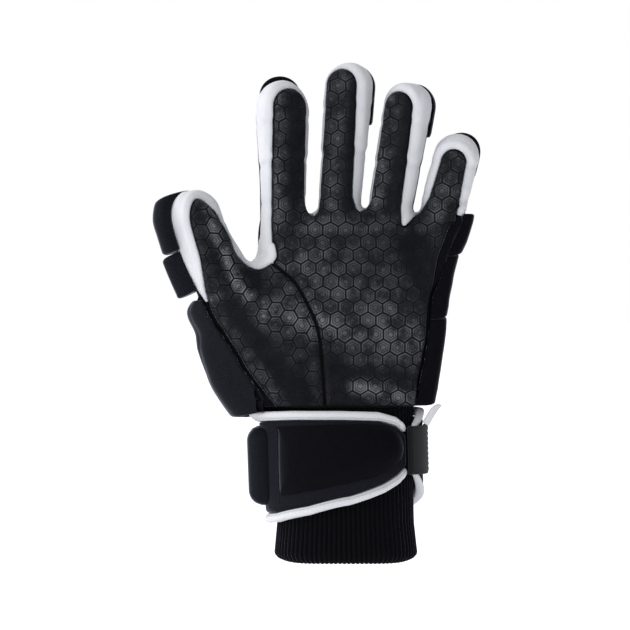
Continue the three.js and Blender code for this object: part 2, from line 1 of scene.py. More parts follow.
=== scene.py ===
"""Looks of a padded field hockey glove for the left hand, over its CAD frame. Lengths are in millimetres
here and in metres in Blender. +Z runs from the cuff to the fingertips, -Y is the palm side and -X the thumb
side."""

import bpy
import numpy as np
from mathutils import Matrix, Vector


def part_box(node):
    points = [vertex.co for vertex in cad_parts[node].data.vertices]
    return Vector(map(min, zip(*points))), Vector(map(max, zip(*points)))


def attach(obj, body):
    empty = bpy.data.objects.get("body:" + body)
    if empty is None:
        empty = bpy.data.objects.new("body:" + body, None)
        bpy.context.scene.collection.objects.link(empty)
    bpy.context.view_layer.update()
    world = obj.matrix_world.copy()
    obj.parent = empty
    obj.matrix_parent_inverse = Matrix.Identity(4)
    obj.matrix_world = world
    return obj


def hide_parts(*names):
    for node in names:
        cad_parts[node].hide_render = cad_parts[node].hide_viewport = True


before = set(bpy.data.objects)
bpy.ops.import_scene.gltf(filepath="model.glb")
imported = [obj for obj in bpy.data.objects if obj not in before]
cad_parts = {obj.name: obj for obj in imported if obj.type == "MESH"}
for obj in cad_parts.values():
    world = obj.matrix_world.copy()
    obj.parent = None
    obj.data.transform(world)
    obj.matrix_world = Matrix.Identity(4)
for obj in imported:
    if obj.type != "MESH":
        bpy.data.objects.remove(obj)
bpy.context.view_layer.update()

# Sizes, as in the part's source
ROUND = 2.3  # exponent of every section
CAP = 13.0  # length of a finger's rounded ends, where it has no cap of its own
FINGERS = {  # root and tip as x and z; half widths; half depth; turn in degrees; how far the tip curls;
    # the printed strip's half widths, start and margin; where the white sides start; where the pads start
    "index": dict(root=(-35.5, 172), tip=(-36.6, 280), half=(13.6, 13.2, 15.2), depth=13, turn=20, curl=7,
                  strip=(11.2, 10.8, 15, 3.5), white=(6, 6), pads=(38, 60, 82), cap=17),
    "middle": dict(root=(-6, 172), tip=(3, 290), half=(12.8, 12.6, 13.8), depth=13, turn=-17, curl=9,
                   strip=(10.3, 11, 15, 2.5), white=(26, 26), pads=(37, 61, 85)),
    "ring": dict(root=(20.5, 172), tip=(38.4, 278.5), half=(12.6, 13, 13.8), depth=12.6, turn=-22, curl=9,
                 strip=(9.9, 10.6, 15, 5), white=(23, 23), pads=(36, 58, 80)),
    "little": dict(root=(48, 170), tip=(67.5, 249), half=(8.5, 13, 12.6), depth=12, turn=-5, curl=8,
                   strip=(7.9, 10, 31, 8.5), white=(24, 36), pads=(41, 60)),
}
THUMB_ROWS = np.array([  # x, z, half width, half depth
    (-30, 100, 22, 19), (-43, 120, 20, 19), (-57, 142, 17.5, 18), (-69, 162, 17.3, 16.5),
    (-79.3, 182, 16.2, 15), (-86.8, 201, 14.7, 13.9)], float)
THUMB_CAP, THUMB_TURN, THUMB_CURL = 15.9, 50, 8
HAND_ROWS = np.array([  # z, left, right, half depth
    (80, -52, 42.5, 24.5), (92, -62, 43, 24), (102, -69, 44.5, 23), (116, -75, 47.5, 22),
    (132, -79.5, 50.5, 21), (152, -84, 53, 19.7), (164, -61, 54.5, 19), (180, -50.5, 57, 18),
    (194, -46.8, 61, 15.5), (206, -44.5, 65, 15)], float)
HAND_TOP, HAND_CAP = 194, 12
THUMB_FILLET, FINGER_FILLET = 9, 4.5
HEM_Z = 92.0
SEAT = 0.5  # gap between a pad and what it lies on
FAR = 1e6  # more than any length or squared length here


def unit(v):
    v = np.asarray(v, float)
    return v / np.linalg.norm(v, axis=-1, keepdims=True)


def smooth_table(x, xs, ys):
    """The value of a table at x, on a smooth curve through its rows."""
    xs, ys = np.asarray(xs, float), np.asarray(ys, float)
    slope = np.gradient(ys, xs)
    i = np.clip(np.searchsorted(xs, x) - 1, 0, len(xs) - 2)
    h = xs[i + 1] - xs[i]
    t = np.clip((x - xs[i]) / h, 0, 1)
    a, b = ys[i], ys[i + 1]
    ma, mb = slope[i] * h, slope[i + 1] * h
    return ((2 * t**3 - 3 * t**2 + 1) * a + (t**3 - 2 * t**2 + t) * ma
            + (-2 * t**3 + 3 * t**2) * b + (t**3 - t**2) * mb)


def smin(a, b, k):
    """The smaller of two distances, blended smoothly where they differ by less than k."""
    h = np.clip(0.5 + 0.5 * (b - a) / k, 0, 1)
    return b + (a - b) * h - k * h * (1 - h)


def smax(a, b, k):
    return -smin(-a, -b, k)


def step(a, b, x):
    """0 at a, 1 at b and smooth between them."""
    t = np.clip((x - a) / (b - a), 0, 1)
    return t * t * (3 - 2 * t)


def bell(x, width):
    return np.exp(-((x / width) ** 2))


def cos_sin(degrees):
    return np.cos(np.radians(degrees)), np.sin(np.radians(degrees))


def run_lengths(points):
    """The length along a line of points up to each of them."""
    return np.concatenate([[0], np.cumsum(np.linalg.norm(np.diff(points, axis=0), axis=1))])


def columns(x, rows, reading=np.interp):
    """Every column of a table at x but the first, which holds the levels."""
    return (reading(x, rows[:, 0], column) for column in rows.T[1:])


def oval(u, w, half, depth, cap=0.0):
    """Distance to a superellipse section with a rounded end. cap is how far into the end a point is."""
    a, b = np.abs(u) / half + 1e-9, np.abs(w) / depth + 1e-9
    r = (a**ROUND + b**ROUND) ** (1 / ROUND)
    slope = r ** (1 - ROUND) * np.hypot(a ** (ROUND - 1) / half, b ** (ROUND - 1) / depth)
    c = np.maximum(cap, 0)
    whole = np.sqrt(r * r + c * c)
    grade = np.sqrt((r * slope) ** 2 + (c / CAP) ** 2) / whole
    return (whole - 1) / grade


# Fingers, thumb and hand as distance fields
for f in FINGERS.values():
    line = np.array([f["tip"][0] - f["root"][0], 0, f["tip"][1] - f["root"][1]], float)
    f["length"] = np.linalg.norm(line)
    f["axis"] = line / f["length"]
    c, s = cos_sin(f["turn"])
    side = np.array([f["axis"][2], 0, -f["axis"][0]])
    palm = np.array([0, -1.0, 0])
    f["across"] = side * c - palm * s
    f["front"] = palm * c + side * s
    f["start"] = np.array([f["root"][0], 0, f["root"][1]], float)


def finger_coords(f, p):
    """Along, across and frontward from the finger's curled middle line."""
    q = p - f["start"]
    along = q @ f["axis"]
    t = np.clip(along / f["length"], 0, 1)
    q = q + np.stack([0 * t, f["curl"] * t * t, 0 * t], -1)
    return along, q @ f["across"], q @ f["front"]


def finger_field(f, p):
    """Distance to a finger, a little fuller at its two joints than between them."""
    along, u, w = finger_coords(f, p)
    a, b, c = f["half"]
    half = smooth_table(np.clip(along / f["length"], 0, 1), [0, 0.45, 0.8, 1], [a, b, c, c])
    tip = f.get("cap", CAP)
    body = f["length"] - tip
    waists = 0.035 * bell(along - 0.5 * body - 6, 7) + 0.035 * bell(along - 0.78 * body, 6)
    cap = np.maximum(along - body, 0) / tip + np.maximum(-along, 0) / CAP
    return oval(u, w, half, f["depth"] * (1 - waists), cap)


_index = np.arange(6.0)
THUMB_AT = np.linspace(0, 5, 101)
THUMB_LINE = np.stack([smooth_table(THUMB_AT, _index, THUMB_ROWS[:, k]) for k in (0, 1)], -1)
THUMB_WAY = unit(np.gradient(THUMB_LINE, axis=0))
THUMB_LENGTH = run_lengths(THUMB_LINE)


def thumb_coords(p):
    """Row number, distance past the last row, across and frontward from the thumb's middle line."""
    flat = p[..., [0, 2]].reshape(-1, 2)
    best = np.zeros(len(flat), int)
    near = np.full(len(flat), FAR)
    for i, q in enumerate(THUMB_LINE):
        d = ((flat - q) ** 2).sum(1)
        best[d < near] = i
        near = np.minimum(near, d)
    extra = ((flat - THUMB_LINE[best]) * THUMB_WAY[best]).sum(1)
    length = np.clip(THUMB_LENGTH[best] + extra, 0, THUMB_LENGTH[-1])
    at, cx, cz, wx, wz = (np.interp(length, THUMB_LENGTH, column)
                          for column in (THUMB_AT, *THUMB_LINE.T, *THUMB_WAY.T))
    past = np.where(best == len(THUMB_LINE) - 1, np.maximum(extra, 0), 0)
    sideways = (flat[:, 0] - cx) * wz - (flat[:, 1] - cz) * wx
    y = p[..., 1].reshape(-1) + THUMB_CURL * (at / THUMB_AT[-1]) ** 2
    c, s = cos_sin(THUMB_TURN)
    found = at, past, sideways * c + y * s, sideways * s - y * c
    return tuple(value.reshape(p.shape[:-1]) for value in found)


def thumb_field(p):
    at, past, u, w = thumb_coords(p)
    half, depth = (smooth_table(at, _index, THUMB_ROWS[:, k]) for k in (2, 3))
    return oval(u, w, half, depth, past / THUMB_CAP)


def hand_section(z):
    """Middle, half width and half depth of the hand at a level."""
    left, right, depth = columns(z, HAND_ROWS, smooth_table)
    return (left + right) / 2, (right - left) / 2, depth


def hand_field(p):
    middle, half, depth = hand_section(p[..., 2])
    return oval(p[..., 0] - middle, p[..., 1], half, depth, np.maximum(p[..., 2] - HAND_TOP, 0) / HAND_CAP)


def skin_field(p):
    """Distance to the hand's outer skin, with the joins between fingers, thumb and hand filleted."""
    d = smin(hand_field(p), thumb_field(p), THUMB_FILLET)
    for f in FINGERS.values():
        d = smin(d, finger_field(f, p), FINGER_FILLET)
    return d


# Relief of the palm side
HOLLOW_X, HOLLOW_Z, HOLLOW_WIDTH, HOLLOW_HEIGHT, HOLLOW_DEPTH = -2, 140, 26, 28, 2.4
RELIEF = 1.3  # what all depths below are multiplied by
FINGER_BENDS = (  # share of the finger's length, depth
    (0.36, 0.5), (0.56, 0.8), (0.6, -0.45), (0.78, 0.55), (0.815, -0.3))
FOLDS = (  # from x and z, to x and z, half width, depth, which is under 0 for a ridge
    (-84, 196, -76, 184, 2.2, 0.9), (-78, 206, -71, 199, 1.5, 0.8), (-80, 202, -73, 194, 1.3, -0.7),
    (-75, 199, -69, 191, 1.4, 0.8), (-71, 188, -57, 158, 2.6, -1.0), (-75, 184, -62, 155, 3.4, 1.5),
    (-57, 158, -36, 132, 4.0, -0.9), (-62, 150, -30, 108, 7.0, 1.7), (-66, 168, -60, 176, 1.8, 0.7),
    (-50, 166, -28, 150, 3.5, 0.8), (-44, 160, -22, 138, 3.0, -0.7), (-24, 128, -17, 98, 5.0, 1.1),
    (-6, 108, 38, 100, 3.2, -1.1), (-8, 116, 40, 108, 4.2, 1.2), (4, 98, 42, 95, 2.0, 0.9),
    (40, 128, 44, 100, 3.0, 0.8), (-36, 196, 50, 190, 5.0, 0.7), (-34, 184, 52, 178, 4.0, -0.5),
    (-8, 152, 34, 128, 6.0, 1.0), (46, 172, 52, 150, 4.0, 0.8), (56, 206, 70, 211, 1.3, 1.0),
    (55, 203, 69, 207, 1.4, -0.8), (54, 199, 68, 202, 1.6, 0.8), (38, 196, 52, 190, 2.5, 0.7))


def by_segment(x, z, x0, z0, x1, z1):
    """How far along a segment points are, from 0 to 1, and how far away from it."""
    dx, dz = x1 - x0, z1 - z0
    t = np.clip(((x - x0) * dx + (z - z0) * dz) / (dx * dx + dz * dz), 0, 1)
    return t, np.hypot(x - x0 - t * dx, z - z0 - t * dz)


def relief(p):
    """Depth taken off the palm side's skin by its hollow, its folds and the bends of the fingers."""
    x, y, z = p[..., 0], p[..., 1], p[..., 2]
    depth = HOLLOW_DEPTH * bell(x - HOLLOW_X, HOLLOW_WIDTH) * bell(z - HOLLOW_Z, HOLLOW_HEIGHT)
    for *line, width, deep in FOLDS:
        t, away = by_segment(x, z, *line)
        depth = depth + deep * bell(away, width) * (0.45 + 0.55 * np.sin(np.pi * t))
    for f in FINGERS.values():
        along, u, w = finger_coords(f, p)
        near = np.clip(1.4 - np.abs(u) / f["half"][2], 0, 1)
        for share, deep in FINGER_BENDS:
            slant = along - share * f["length"] - 0.12 * u
            depth = depth + deep * near * bell(slant, 2.4) * (along > 0)
    return RELIEF * step(3, -5, y) * depth


def folded_skin(p):
    return skin_field(p) + relief(p)


# Base, least and most strength of the painted highlight and painted shade on the grip print, with its wear
PAINTED_LIGHT_AND_WEAR_BASE, PAINTED_LIGHT_AND_WEAR_LEAST, PAINTED_LIGHT_AND_WEAR_MOST = 0.15, 0.03, 1.25
# Painted highlight and painted shade on the grip print, together with its wear: from x and z, to x and z,
# half width, strength
PRINT_PAINTED_LIGHT_AND_WEAR = (
    (-26, 183, 20, 137, 22, 0.3), (-12, 139, 32, 127, 9, 0.22), (6, 104, 41, 97, 4.5, 0.75),
    (32, 148, 46, 113, 11, 0.2), (-26, 199, 44, 193, 6, 0.12), (-78, 200, -62, 163, 2.6, 0.85),
    (-62, 163, -47, 145, 3.4, 0.9), (-44, 148, -15, 139, 8.5, 0.5), (-76, 154, -35, 95, 4.5, 0.3),
    (-82, 209, -76, 203, 3, 0.6), (-39, 270, -39.5, 190, 4, 0.36), (-2.5, 279, -8, 206, 3.6, 0.22),
    (26.5, 270, 17.5, 209, 3.6, 0.42), (64, 232, 53, 203, 5, 0.3), (-68, 146, -28, 98, 7.5, -0.35),
    (38, 188, 50, 159, 8, -0.3), (-9, 118, 0, 95, 7, -0.22), (-6, 112, 40, 110, 4, -0.2),
    (-54, 176, -50, 160, 5, -0.2), (-29, 268, -29, 200, 4, -0.2), (6, 275, 1, 206, 4, -0.2),
    (37, 266, 27, 206, 4, -0.2))


def shine(p):
    """How strongly the grip print shows, from 0 up: painted highlight and painted shade, together with wear.
    """
    found = np.full(len(p), PAINTED_LIGHT_AND_WEAR_BASE)
    for *line, width, strength in PRINT_PAINTED_LIGHT_AND_WEAR:
        found += strength * bell(by_segment(p[:, 0], p[:, 2], *line)[1], width)
    return np.clip(found, PAINTED_LIGHT_AND_WEAR_LEAST, PAINTED_LIGHT_AND_WEAR_MOST)


def gradient(field, p, h=0.2):
    g = np.empty(p.shape)
    for k in range(3):
        e = np.zeros(3)
        e[k] = h
        g[..., k] = (field(p + e) - field(p - e)) / (2 * h)
    return g


# Meshes
MOVES, LONGEST_MOVE = 4, 0.7  # how often the points move onto the surface, and how far in cells
CLIP_SNAP = 0.02  # a point nearer to a cut than this counts as inside


def box_values(field, low, n, h):
    """A field's values on a grid of n points a side, one slice after another."""
    x, y, z = (low[k] + h * np.arange(n[k]) for k in range(3))
    yy, zz = np.meshgrid(y, z, indexing="ij")
    return np.stack([field(np.stack([np.full_like(yy, at), yy, zz], -1)) for at in x])


def cell_points(values):
    """A point in each grid cell that the surface crosses, in cells, and a grid of these points' numbers."""
    n = values.shape
    corners = np.array(list(np.ndindex(2, 2, 2)))
    cells = sum((values[dx:n[0] - 1 + dx, dy:n[1] - 1 + dy, dz:n[2] - 1 + dz] < 0).astype(np.int8)
                for dx, dy, dz in corners)
    active = np.argwhere((cells > 0) & (cells < 8))
    number = np.full(cells.shape, -1)
    number[tuple(active.T)] = np.arange(len(active))
    total, count = np.zeros((len(active), 3)), np.zeros(len(active))
    for a, k in ((a, k) for a in corners for k in range(3) if not a[k]):
        b = a + np.eye(3, dtype=int)[k]
        va, vb = values[tuple((active + a).T)], values[tuple((active + b).T)]
        cross = (va < 0) != (vb < 0)
        share = np.where(cross, va / np.where(cross, va - vb, 1), 0)
        point = active + a + share[:, None] * (b - a)
        total[cross] += point[cross]
        count[cross] += 1
    return total / count[:, None], number


def cell_quads(values, number):
    """A quad round each grid edge that the surface crosses, between the points of its four cells."""
    n, inside, quads = values.shape, values < 0, []
    for k in range(3):
        i, j = (k + 1) % 3, (k + 2) % 3
        change = -np.diff(inside.astype(int), axis=k)
        edges = np.argwhere(change != 0)
        keep = (edges[:, i] > 0) & (edges[:, j] > 0) & (edges[:, i] < n[i] - 1) & (edges[:, j] < n[j] - 1)
        edges = edges[keep]
        ring = []
        for di, dj in ((-1, -1), (0, -1), (0, 0), (-1, 0)):
            e = edges.copy()
            e[:, i] += di
            e[:, j] += dj
            ring.append(number[tuple(e.T)])
        ring = np.stack(ring, 1)
        quads.append(np.where(change[tuple(edges.T)][:, None] > 0, ring, ring[:, ::-1]))
    return np.concatenate(quads)


def nets(field, low, high, h, exact=None):
    """A mesh of quads on field = 0 inside a box, moved onto exact = 0 where given, with its normals."""
    exact = exact or field
    n = np.ceil((np.asarray(high) - low) / h).astype(int) + 1
    values = box_values(field, low, n, h)
    points, number = cell_points(values)
    verts = low + h * points
    for _ in range(MOVES):
        g = gradient(exact, verts)
        move = -exact(verts)[:, None] * g / np.maximum((g**2).sum(1, keepdims=True), 0.2)
        verts = verts + np.clip(move, -LONGEST_MOVE * h, LONGEST_MOVE * h)
    return verts, cell_quads(values, number), unit(gradient(exact, verts) + 1e-12)


def triangles(quads):
    return np.concatenate([quads[:, [0, 1, 2]], quads[:, [0, 2, 3]]])


def clip(values, tris, g):
    """The part of a triangle mesh where g is under 0. values holds a row for each vertex."""
    g = np.where(np.abs(g) < CLIP_SNAP, -CLIP_SNAP, g)
    inner = g < 0
    count = inner[tris].sum(1)
    whole = tris[count == 3]
    one, two = tris[count == 1], tris[count == 2]
    shift = np.argmax(inner[one], 1)
    one = np.stack([one[np.arange(len(one)), (shift + k) % 3] for k in range(3)], 1)
    shift = np.argmin(inner[two], 1)
    two = np.stack([two[np.arange(len(two)), (shift + k) % 3] for k in range(3)], 1)
    pairs = np.concatenate([one[:, [0, 1]], one[:, [0, 2]], two[:, [0, 1]], two[:, [0, 2]]])
    unique, back = np.unique(np.sort(pairs, 1), axis=0, return_inverse=True)
    back = back.reshape(-1) + len(values)
    a, b = unique[:, 0], unique[:, 1]
    share = (g[a] / (g[a] - g[b]))[:, None]
    values = np.concatenate([values, values[a] * (1 - share) + values[b] * share])
    n1, n2 = len(one), len(two)
    e1, e2, e3, e4 = back[:n1], back[n1:2 * n1], back[2 * n1:2 * n1 + n2], back[2 * n1 + n2:]
    tris = np.concatenate([whole, np.stack([one[:, 0], e1, e2], 1), np.stack([e3, two[:, 1], two[:, 2]], 1),
                           np.stack([e3, two[:, 2], e4], 1)])
    used, back = np.unique(tris, return_inverse=True)
    return values[used], back.reshape(tris.shape)


def rim(tris):
    """The open edges of a triangle mesh, each as it runs in its triangle."""
    edges = np.concatenate([tris[:, [0, 1]], tris[:, [1, 2]], tris[:, [2, 0]]])
    key = edges[:, 0].astype(np.int64) * (tris.max() + 1) + edges[:, 1]
    back = edges[:, 1].astype(np.int64) * (tris.max() + 1) + edges[:, 0]
    return edges[~np.isin(key, back)]


def shell(outer, inner, tris):
    """A closed shell: two meshes with the same triangles, and a strip between their open edges."""
    n = len(outer)
    a, b = rim(tris).T
    strip = np.concatenate([np.stack([b, a, a + n], 1), np.stack([b, a + n, b + n], 1)])
    return np.concatenate([outer, inner]), np.concatenate([tris, tris[:, ::-1] + n, strip])


def new_object(name, content):
    made = bpy.data.objects.new(name, content)
    bpy.context.scene.collection.objects.link(made)
    return made


def dress(name, verts, faces, material, nodes, slot, fill=None, **attributes):
    """A piece of the glove from points in millimetres, hung on the root body, with the CAD nodes it stands
    for hidden.
    """
    mesh = bpy.data.meshes.new(name)
    verts, faces = np.asarray(verts, np.float32), np.asarray(faces, np.int32)
    mesh.vertices.add(len(verts))
    mesh.vertices.foreach_set("co", (verts * 0.001).ravel())
    mesh.loops.add(faces.size)
    mesh.loops.foreach_set("vertex_index", faces.ravel())
    mesh.polygons.add(len(faces))
    mesh.polygons.foreach_set("loop_start", np.arange(0, faces.size, faces.shape[1], dtype=np.int32))
    mesh.update(calc_edges=True)
    mesh.polygons.foreach_set("use_smooth", np.ones(len(faces), bool))
    for key, data in attributes.items():
        layer = mesh.attributes.new(key, "FLOAT", "POINT")
        layer.data.foreach_set("value", np.asarray(data, np.float32))
    mesh.validate()
    mesh.materials.append(material)
    piece = new_object(name, mesh)
    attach(piece, "root")
    if nodes:
        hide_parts(*nodes)
    return piece


# Outlines on the palm side, as x and z
def curve(points, per=8, closed=False):
    """A smooth line of points through some given ones."""
    p = np.asarray(points, float)
    n = len(p)
    out = []
    for i in range(n if closed else n - 1):
        a, b, c, d = (p[(i + k) % n] if closed else p[min(max(i + k, 0), n - 1)] for k in (-1, 0, 1, 2))
        for t in np.arange(per) / per:
            out.append(0.5 * (2 * b + (c - a) * t + (2 * a - 5 * b + 4 * c - d) * t**2
                              + (3 * b - a - 3 * c + d) * t**3))
    if not closed:
        out.append(p[-1])
    return np.array(out)


def polygon_distance(p, outline):
    """Distance from points to a closed outline, negative inside it."""
    best = np.full(len(p), FAR)
    inner = np.zeros(len(p), bool)
    for a, b in zip(outline, np.roll(outline, -1, axis=0)):
        e, q = b - a, p - a
        t = np.clip((q @ e) / max(e @ e, 1e-9), 0, 1)
        best = np.minimum(best, ((q - t[:, None] * e) ** 2).sum(1))
        across = (a[1] > p[:, 1]) != (b[1] > p[:, 1])
        if abs(e[1]) > 1e-12:
            inner ^= across & (p[:, 0] < a[0] + e[0] * (p[:, 1] - a[1]) / e[1])
    return np.where(inner, -1, 1) * np.sqrt(best)


PALM_SEAM = [(-11.3, 86), (-13, 112.6), (-14.3, 128), (-16.4, 138.6), (-19.9, 147.1), (-24.2, 155.6),
             (-29.1, 163.4), (-36.2, 169.8), (-42.6, 174.7)]
PALM_RIGHT = [(41.5, 80), (42.2, 93), (44.1, 112.6), (47.8, 131.6), (48.3, 146), (51.7, 163.4),
              (53.8, 177.5), (58.8, 191.7), (63, 203)]
WEBS = [  # the palm's edge between the little, ring, middle and index fingers
    (52, 217), (48.8, 213.5), (43, 205.8), (37.6, 199.2), (35, 196.4), (33.6, 195.8), (32.7, 197.4),
    (32.6, 203), (31, 211), (15, 211), (12.4, 209.6), (11, 206.6), (9.3, 205.2), (7.6, 206.2), (6.6, 209),
    (4, 214), (-12, 214), (-15.6, 210), (-16.6, 204.8), (-18, 202.6), (-19.6, 204), (-21.2, 208),
    (-24, 215), (-40, 208)]
INDEX_SIDE = [(-42.8, 200), (-42.2, 193), (-41.1, 186), (-39.9, 180), (-40.4, 177), (-42.6, 174.7)]
THUMB_EDGE = [(-42.6, 174.7), (-50.4, 171.5), (-58.1, 176.1), (-63, 182.5), (-65.5, 190), (-70, 198),
              (-75.5, 205.5), (-81, 211), (-85.6, 212), (-88.4, 207), (-89.1, 198.7), (-86.6, 188.1),
              (-83.6, 177), (-82, 165), (-80.4, 155), (-75.9, 143.5), (-63, 124.5), (-56, 112.6),
              (-38.7, 90.4), (-33, 82)]
THUMB_BACK = [(-80.8, 152), (-86, 159), (-91.3, 166.9), (-96.3, 175.4), (-100.4, 183), (-103, 192),
              (-103, 203), (-99, 214), (-92, 224)]
SEAM_LINE, RIGHT_LINE = curve(PALM_SEAM), curve(PALM_RIGHT)
PALM_OUTLINE = np.concatenate([
    [(-11.3, 70), (41, 70)], RIGHT_LINE, WEBS, curve(INDEX_SIDE), SEAM_LINE[::-1]])
THUMB_OUTLINE = np.concatenate([[(-11.3, 70)], SEAM_LINE, curve(THUMB_EDGE)[1:], [(-33, 70)]])
THUMB_WHITE = np.concatenate([
    curve(THUMB_BACK), [(-60, 224), (-60, 195), (-35.6, 186), (-35.6, 158), (-60, 158)]])
PLANE_SLOPE = 0.7  # weight of the depth where a panel ends at the middle plane
WEB_FRONT = 3  # how far in front of that plane the thumb's panel ends beside the web, which stays white
WHITE_BACK = 5.5  # how far behind it the white sides run


def finger_frame(f, p):
    """Across, along and frontward in the tilted frame of the finger's cuts."""
    bend = f["curl"] * np.cos(np.radians(f["turn"])) / f["length"]
    along, front = unit(f["axis"] + f["front"] * bend), unit(f["front"] - f["axis"] * bend)
    q = p - f["start"]
    return q @ f["across"], q @ along, q @ front


def strip_distance(f, p):
    """Distance to the printed strip on a finger's front."""
    u, v, w = finger_frame(f, p)
    tip, root, low, margin = f["strip"]
    top = f["length"] - margin - tip
    half = tip + (root - tip) * np.clip((top - v) / (top - low), 0, 1)
    d = np.where(v > top, np.hypot(u, v - top) - tip, np.abs(u) - half)
    return np.maximum(np.maximum(d, low - v), -w * PLANE_SLOPE)


def palm_distance(p):
    d = np.maximum(polygon_distance(p[:, [0, 2]], PALM_OUTLINE), p[:, 1] * PLANE_SLOPE)
    for f in FINGERS.values():
        d = smin(d, strip_distance(f, p), 1.5)
    return d


def thumb_distance(p):
    web = WEB_FRONT * step(-79, -75, p[:, 0]) * step(160, 168, p[:, 2])
    return np.maximum(polygon_distance(p[:, [0, 2]], THUMB_OUTLINE), (p[:, 1] + web) * PLANE_SLOPE)


def white_distance(p):
    d = np.maximum(polygon_distance(p[:, [0, 2]], THUMB_WHITE), p[:, 1] - WHITE_BACK)
    for f in FINGERS.values():
        u, v, w = finger_frame(f, p)
        start = np.where(u < 0, *f["white"])
        wide = f["half"][2] + 2.5 + 1.5 * step(40, 70, v)
        d = np.minimum(d, np.maximum.reduce([np.abs(u) - wide, start - v, -WHITE_BACK - w]))
    return d


# Materials. Texture lengths are in millimetres
def node(tree, kind, inputs=None, **settings):
    made = tree.nodes.new(kind)
    for key, value in settings.items():
        setattr(made, key, value)
    for key, value in (inputs or {}).items():
        if isinstance(value, bpy.types.NodeSocket):
            tree.links.new(value, made.inputs[key])
        else:
            made.inputs[key].default_value = value
    return made


def math(tree, operation, *values):
    return node(tree, "ShaderNodeMath", dict(enumerate(values)), operation=operation).outputs[0]


def vector(tree, operation, *values):
    return node(tree, "ShaderNodeVectorMath", dict(enumerate(values)), operation=operation).outputs[0]


def axes(tree, place):
    return node(tree, "ShaderNodeSeparateXYZ", {0: place}).outputs[:]


def total(tree, *parts):
    """The sum of some values, each times its weight."""
    found = 0.0
    for value, weight in parts:
        found = math(tree, "MULTIPLY_ADD", value, weight, found)
    return found


def ramp(tree, value, low, high, start=0.0, end=1.0):
    """A soft step of a value from start to end as it goes from low to high."""
    inputs = {0: value, 1: low, 2: high, 3: start, 4: end}
    return node(tree, "ShaderNodeMapRange", inputs, interpolation_type="SMOOTHSTEP").outputs[0]


def blend(tree, share, a, b, most=1.0):
    """A colour that goes from a to b with a share times most."""
    if most != 1:
        share = math(tree, "MULTIPLY", share, most)
    mixer = node(tree, "ShaderNodeMix", {0: share}, data_type="RGBA")
    for socket, value in zip((mixer.inputs[6], mixer.inputs[7]), (a, b)):
        if isinstance(value, bpy.types.NodeSocket):
            tree.links.new(value, socket)
        else:
            socket.default_value = (*value, 1)
    return mixer.outputs[2]


def noise(tree, place, size, detail=2.0, rough=0.5, stretch=(1, 1, 1)):
    """Noise from 0 to 1 with features of about one size."""
    scaled = vector(tree, "MULTIPLY", place, tuple(s / size for s in stretch))
    inputs = {"Vector": scaled, "Scale": 1.0, "Detail": detail, "Roughness": rough}
    return node(tree, "ShaderNodeTexNoise", inputs).outputs[0]


def waves(tree, value, pitch):
    """A sine from 0 to 1 along a value."""
    turns = math(tree, "MULTIPLY", value, 2 * np.pi / pitch)
    return math(tree, "MULTIPLY_ADD", math(tree, "SINE", turns), 0.5, 0.5)


def attribute(tree, name):
    return node(tree, "ShaderNodeAttribute", attribute_name=name).outputs["Fac"]


def new_material(name, roughness, specular, sheen=0.0, sheen_rough=0.5, tint=(1, 1, 1)):
    """A new material, its node tree, its shader and the place in millimetres."""
    made = bpy.data.materials.new(name)
    made.use_nodes = True
    tree = made.node_tree
    shader = tree.nodes["Principled BSDF"]
    shader.inputs["Roughness"].default_value = roughness
    shader.inputs["Specular IOR Level"].default_value = specular
    shader.inputs["Sheen Weight"].default_value = sheen
    shader.inputs["Sheen Roughness"].default_value = sheen_rough
    shader.inputs["Sheen Tint"].default_value = (*tint, 1)
    place = vector(tree, "SCALE", node(tree, "ShaderNodeTexCoord").outputs["Object"])
    place.node.inputs["Scale"].default_value = 1000
    return made, tree, shader, place


def connect(tree, shader, color, height, strength, depth, roughness=None):
    """Joins a colour, a bump height in shares of a depth in millimetres, and a roughness to the shader."""
    tree.links.new(color, shader.inputs["Base Color"])
    bump = node(tree, "ShaderNodeBump", {"Strength": strength, "Distance": depth * 0.001, "Height": height})
    tree.links.new(bump.outputs[0], shader.inputs["Normal"])
    if roughness is not None:
        tree.links.new(roughness, shader.inputs["Roughness"])


PRINT_PITCH = 8.6


def hexagons(tree, place, pitch):
    """Distance from the nearest point of a staggered grid, measured to the sides of a hexagon."""
    cell = (pitch, FAR, pitch * 3**0.5)
    half = tuple(c / 2 for c in cell)
    found = None
    for offset in ((0, 0, 0), (half[0], 0, half[2])):
        inputs = {0: vector(tree, "ADD", place, offset), 1: half, 2: tuple(-h for h in half)}
        local = node(tree, "ShaderNodeVectorMath", inputs, operation="WRAP").outputs[0]
        x, _, z = axes(tree, vector(tree, "ABSOLUTE", local))
        distance = math(tree, "MAXIMUM", x, total(tree, (x, 0.5), (z, 3**0.5 / 2)))
        found = distance if found is None else math(tree, "MINIMUM", found, distance)
    return math(tree, "DIVIDE", found, pitch / 2)


def stripe(tree, value, middle, half):
    """1 within half of a middle value, falling off to 0 outside it."""
    away = math(tree, "ABSOLUTE", math(tree, "SUBTRACT", value, middle))
    return ramp(tree, away, half + 0.05, half - 0.02)


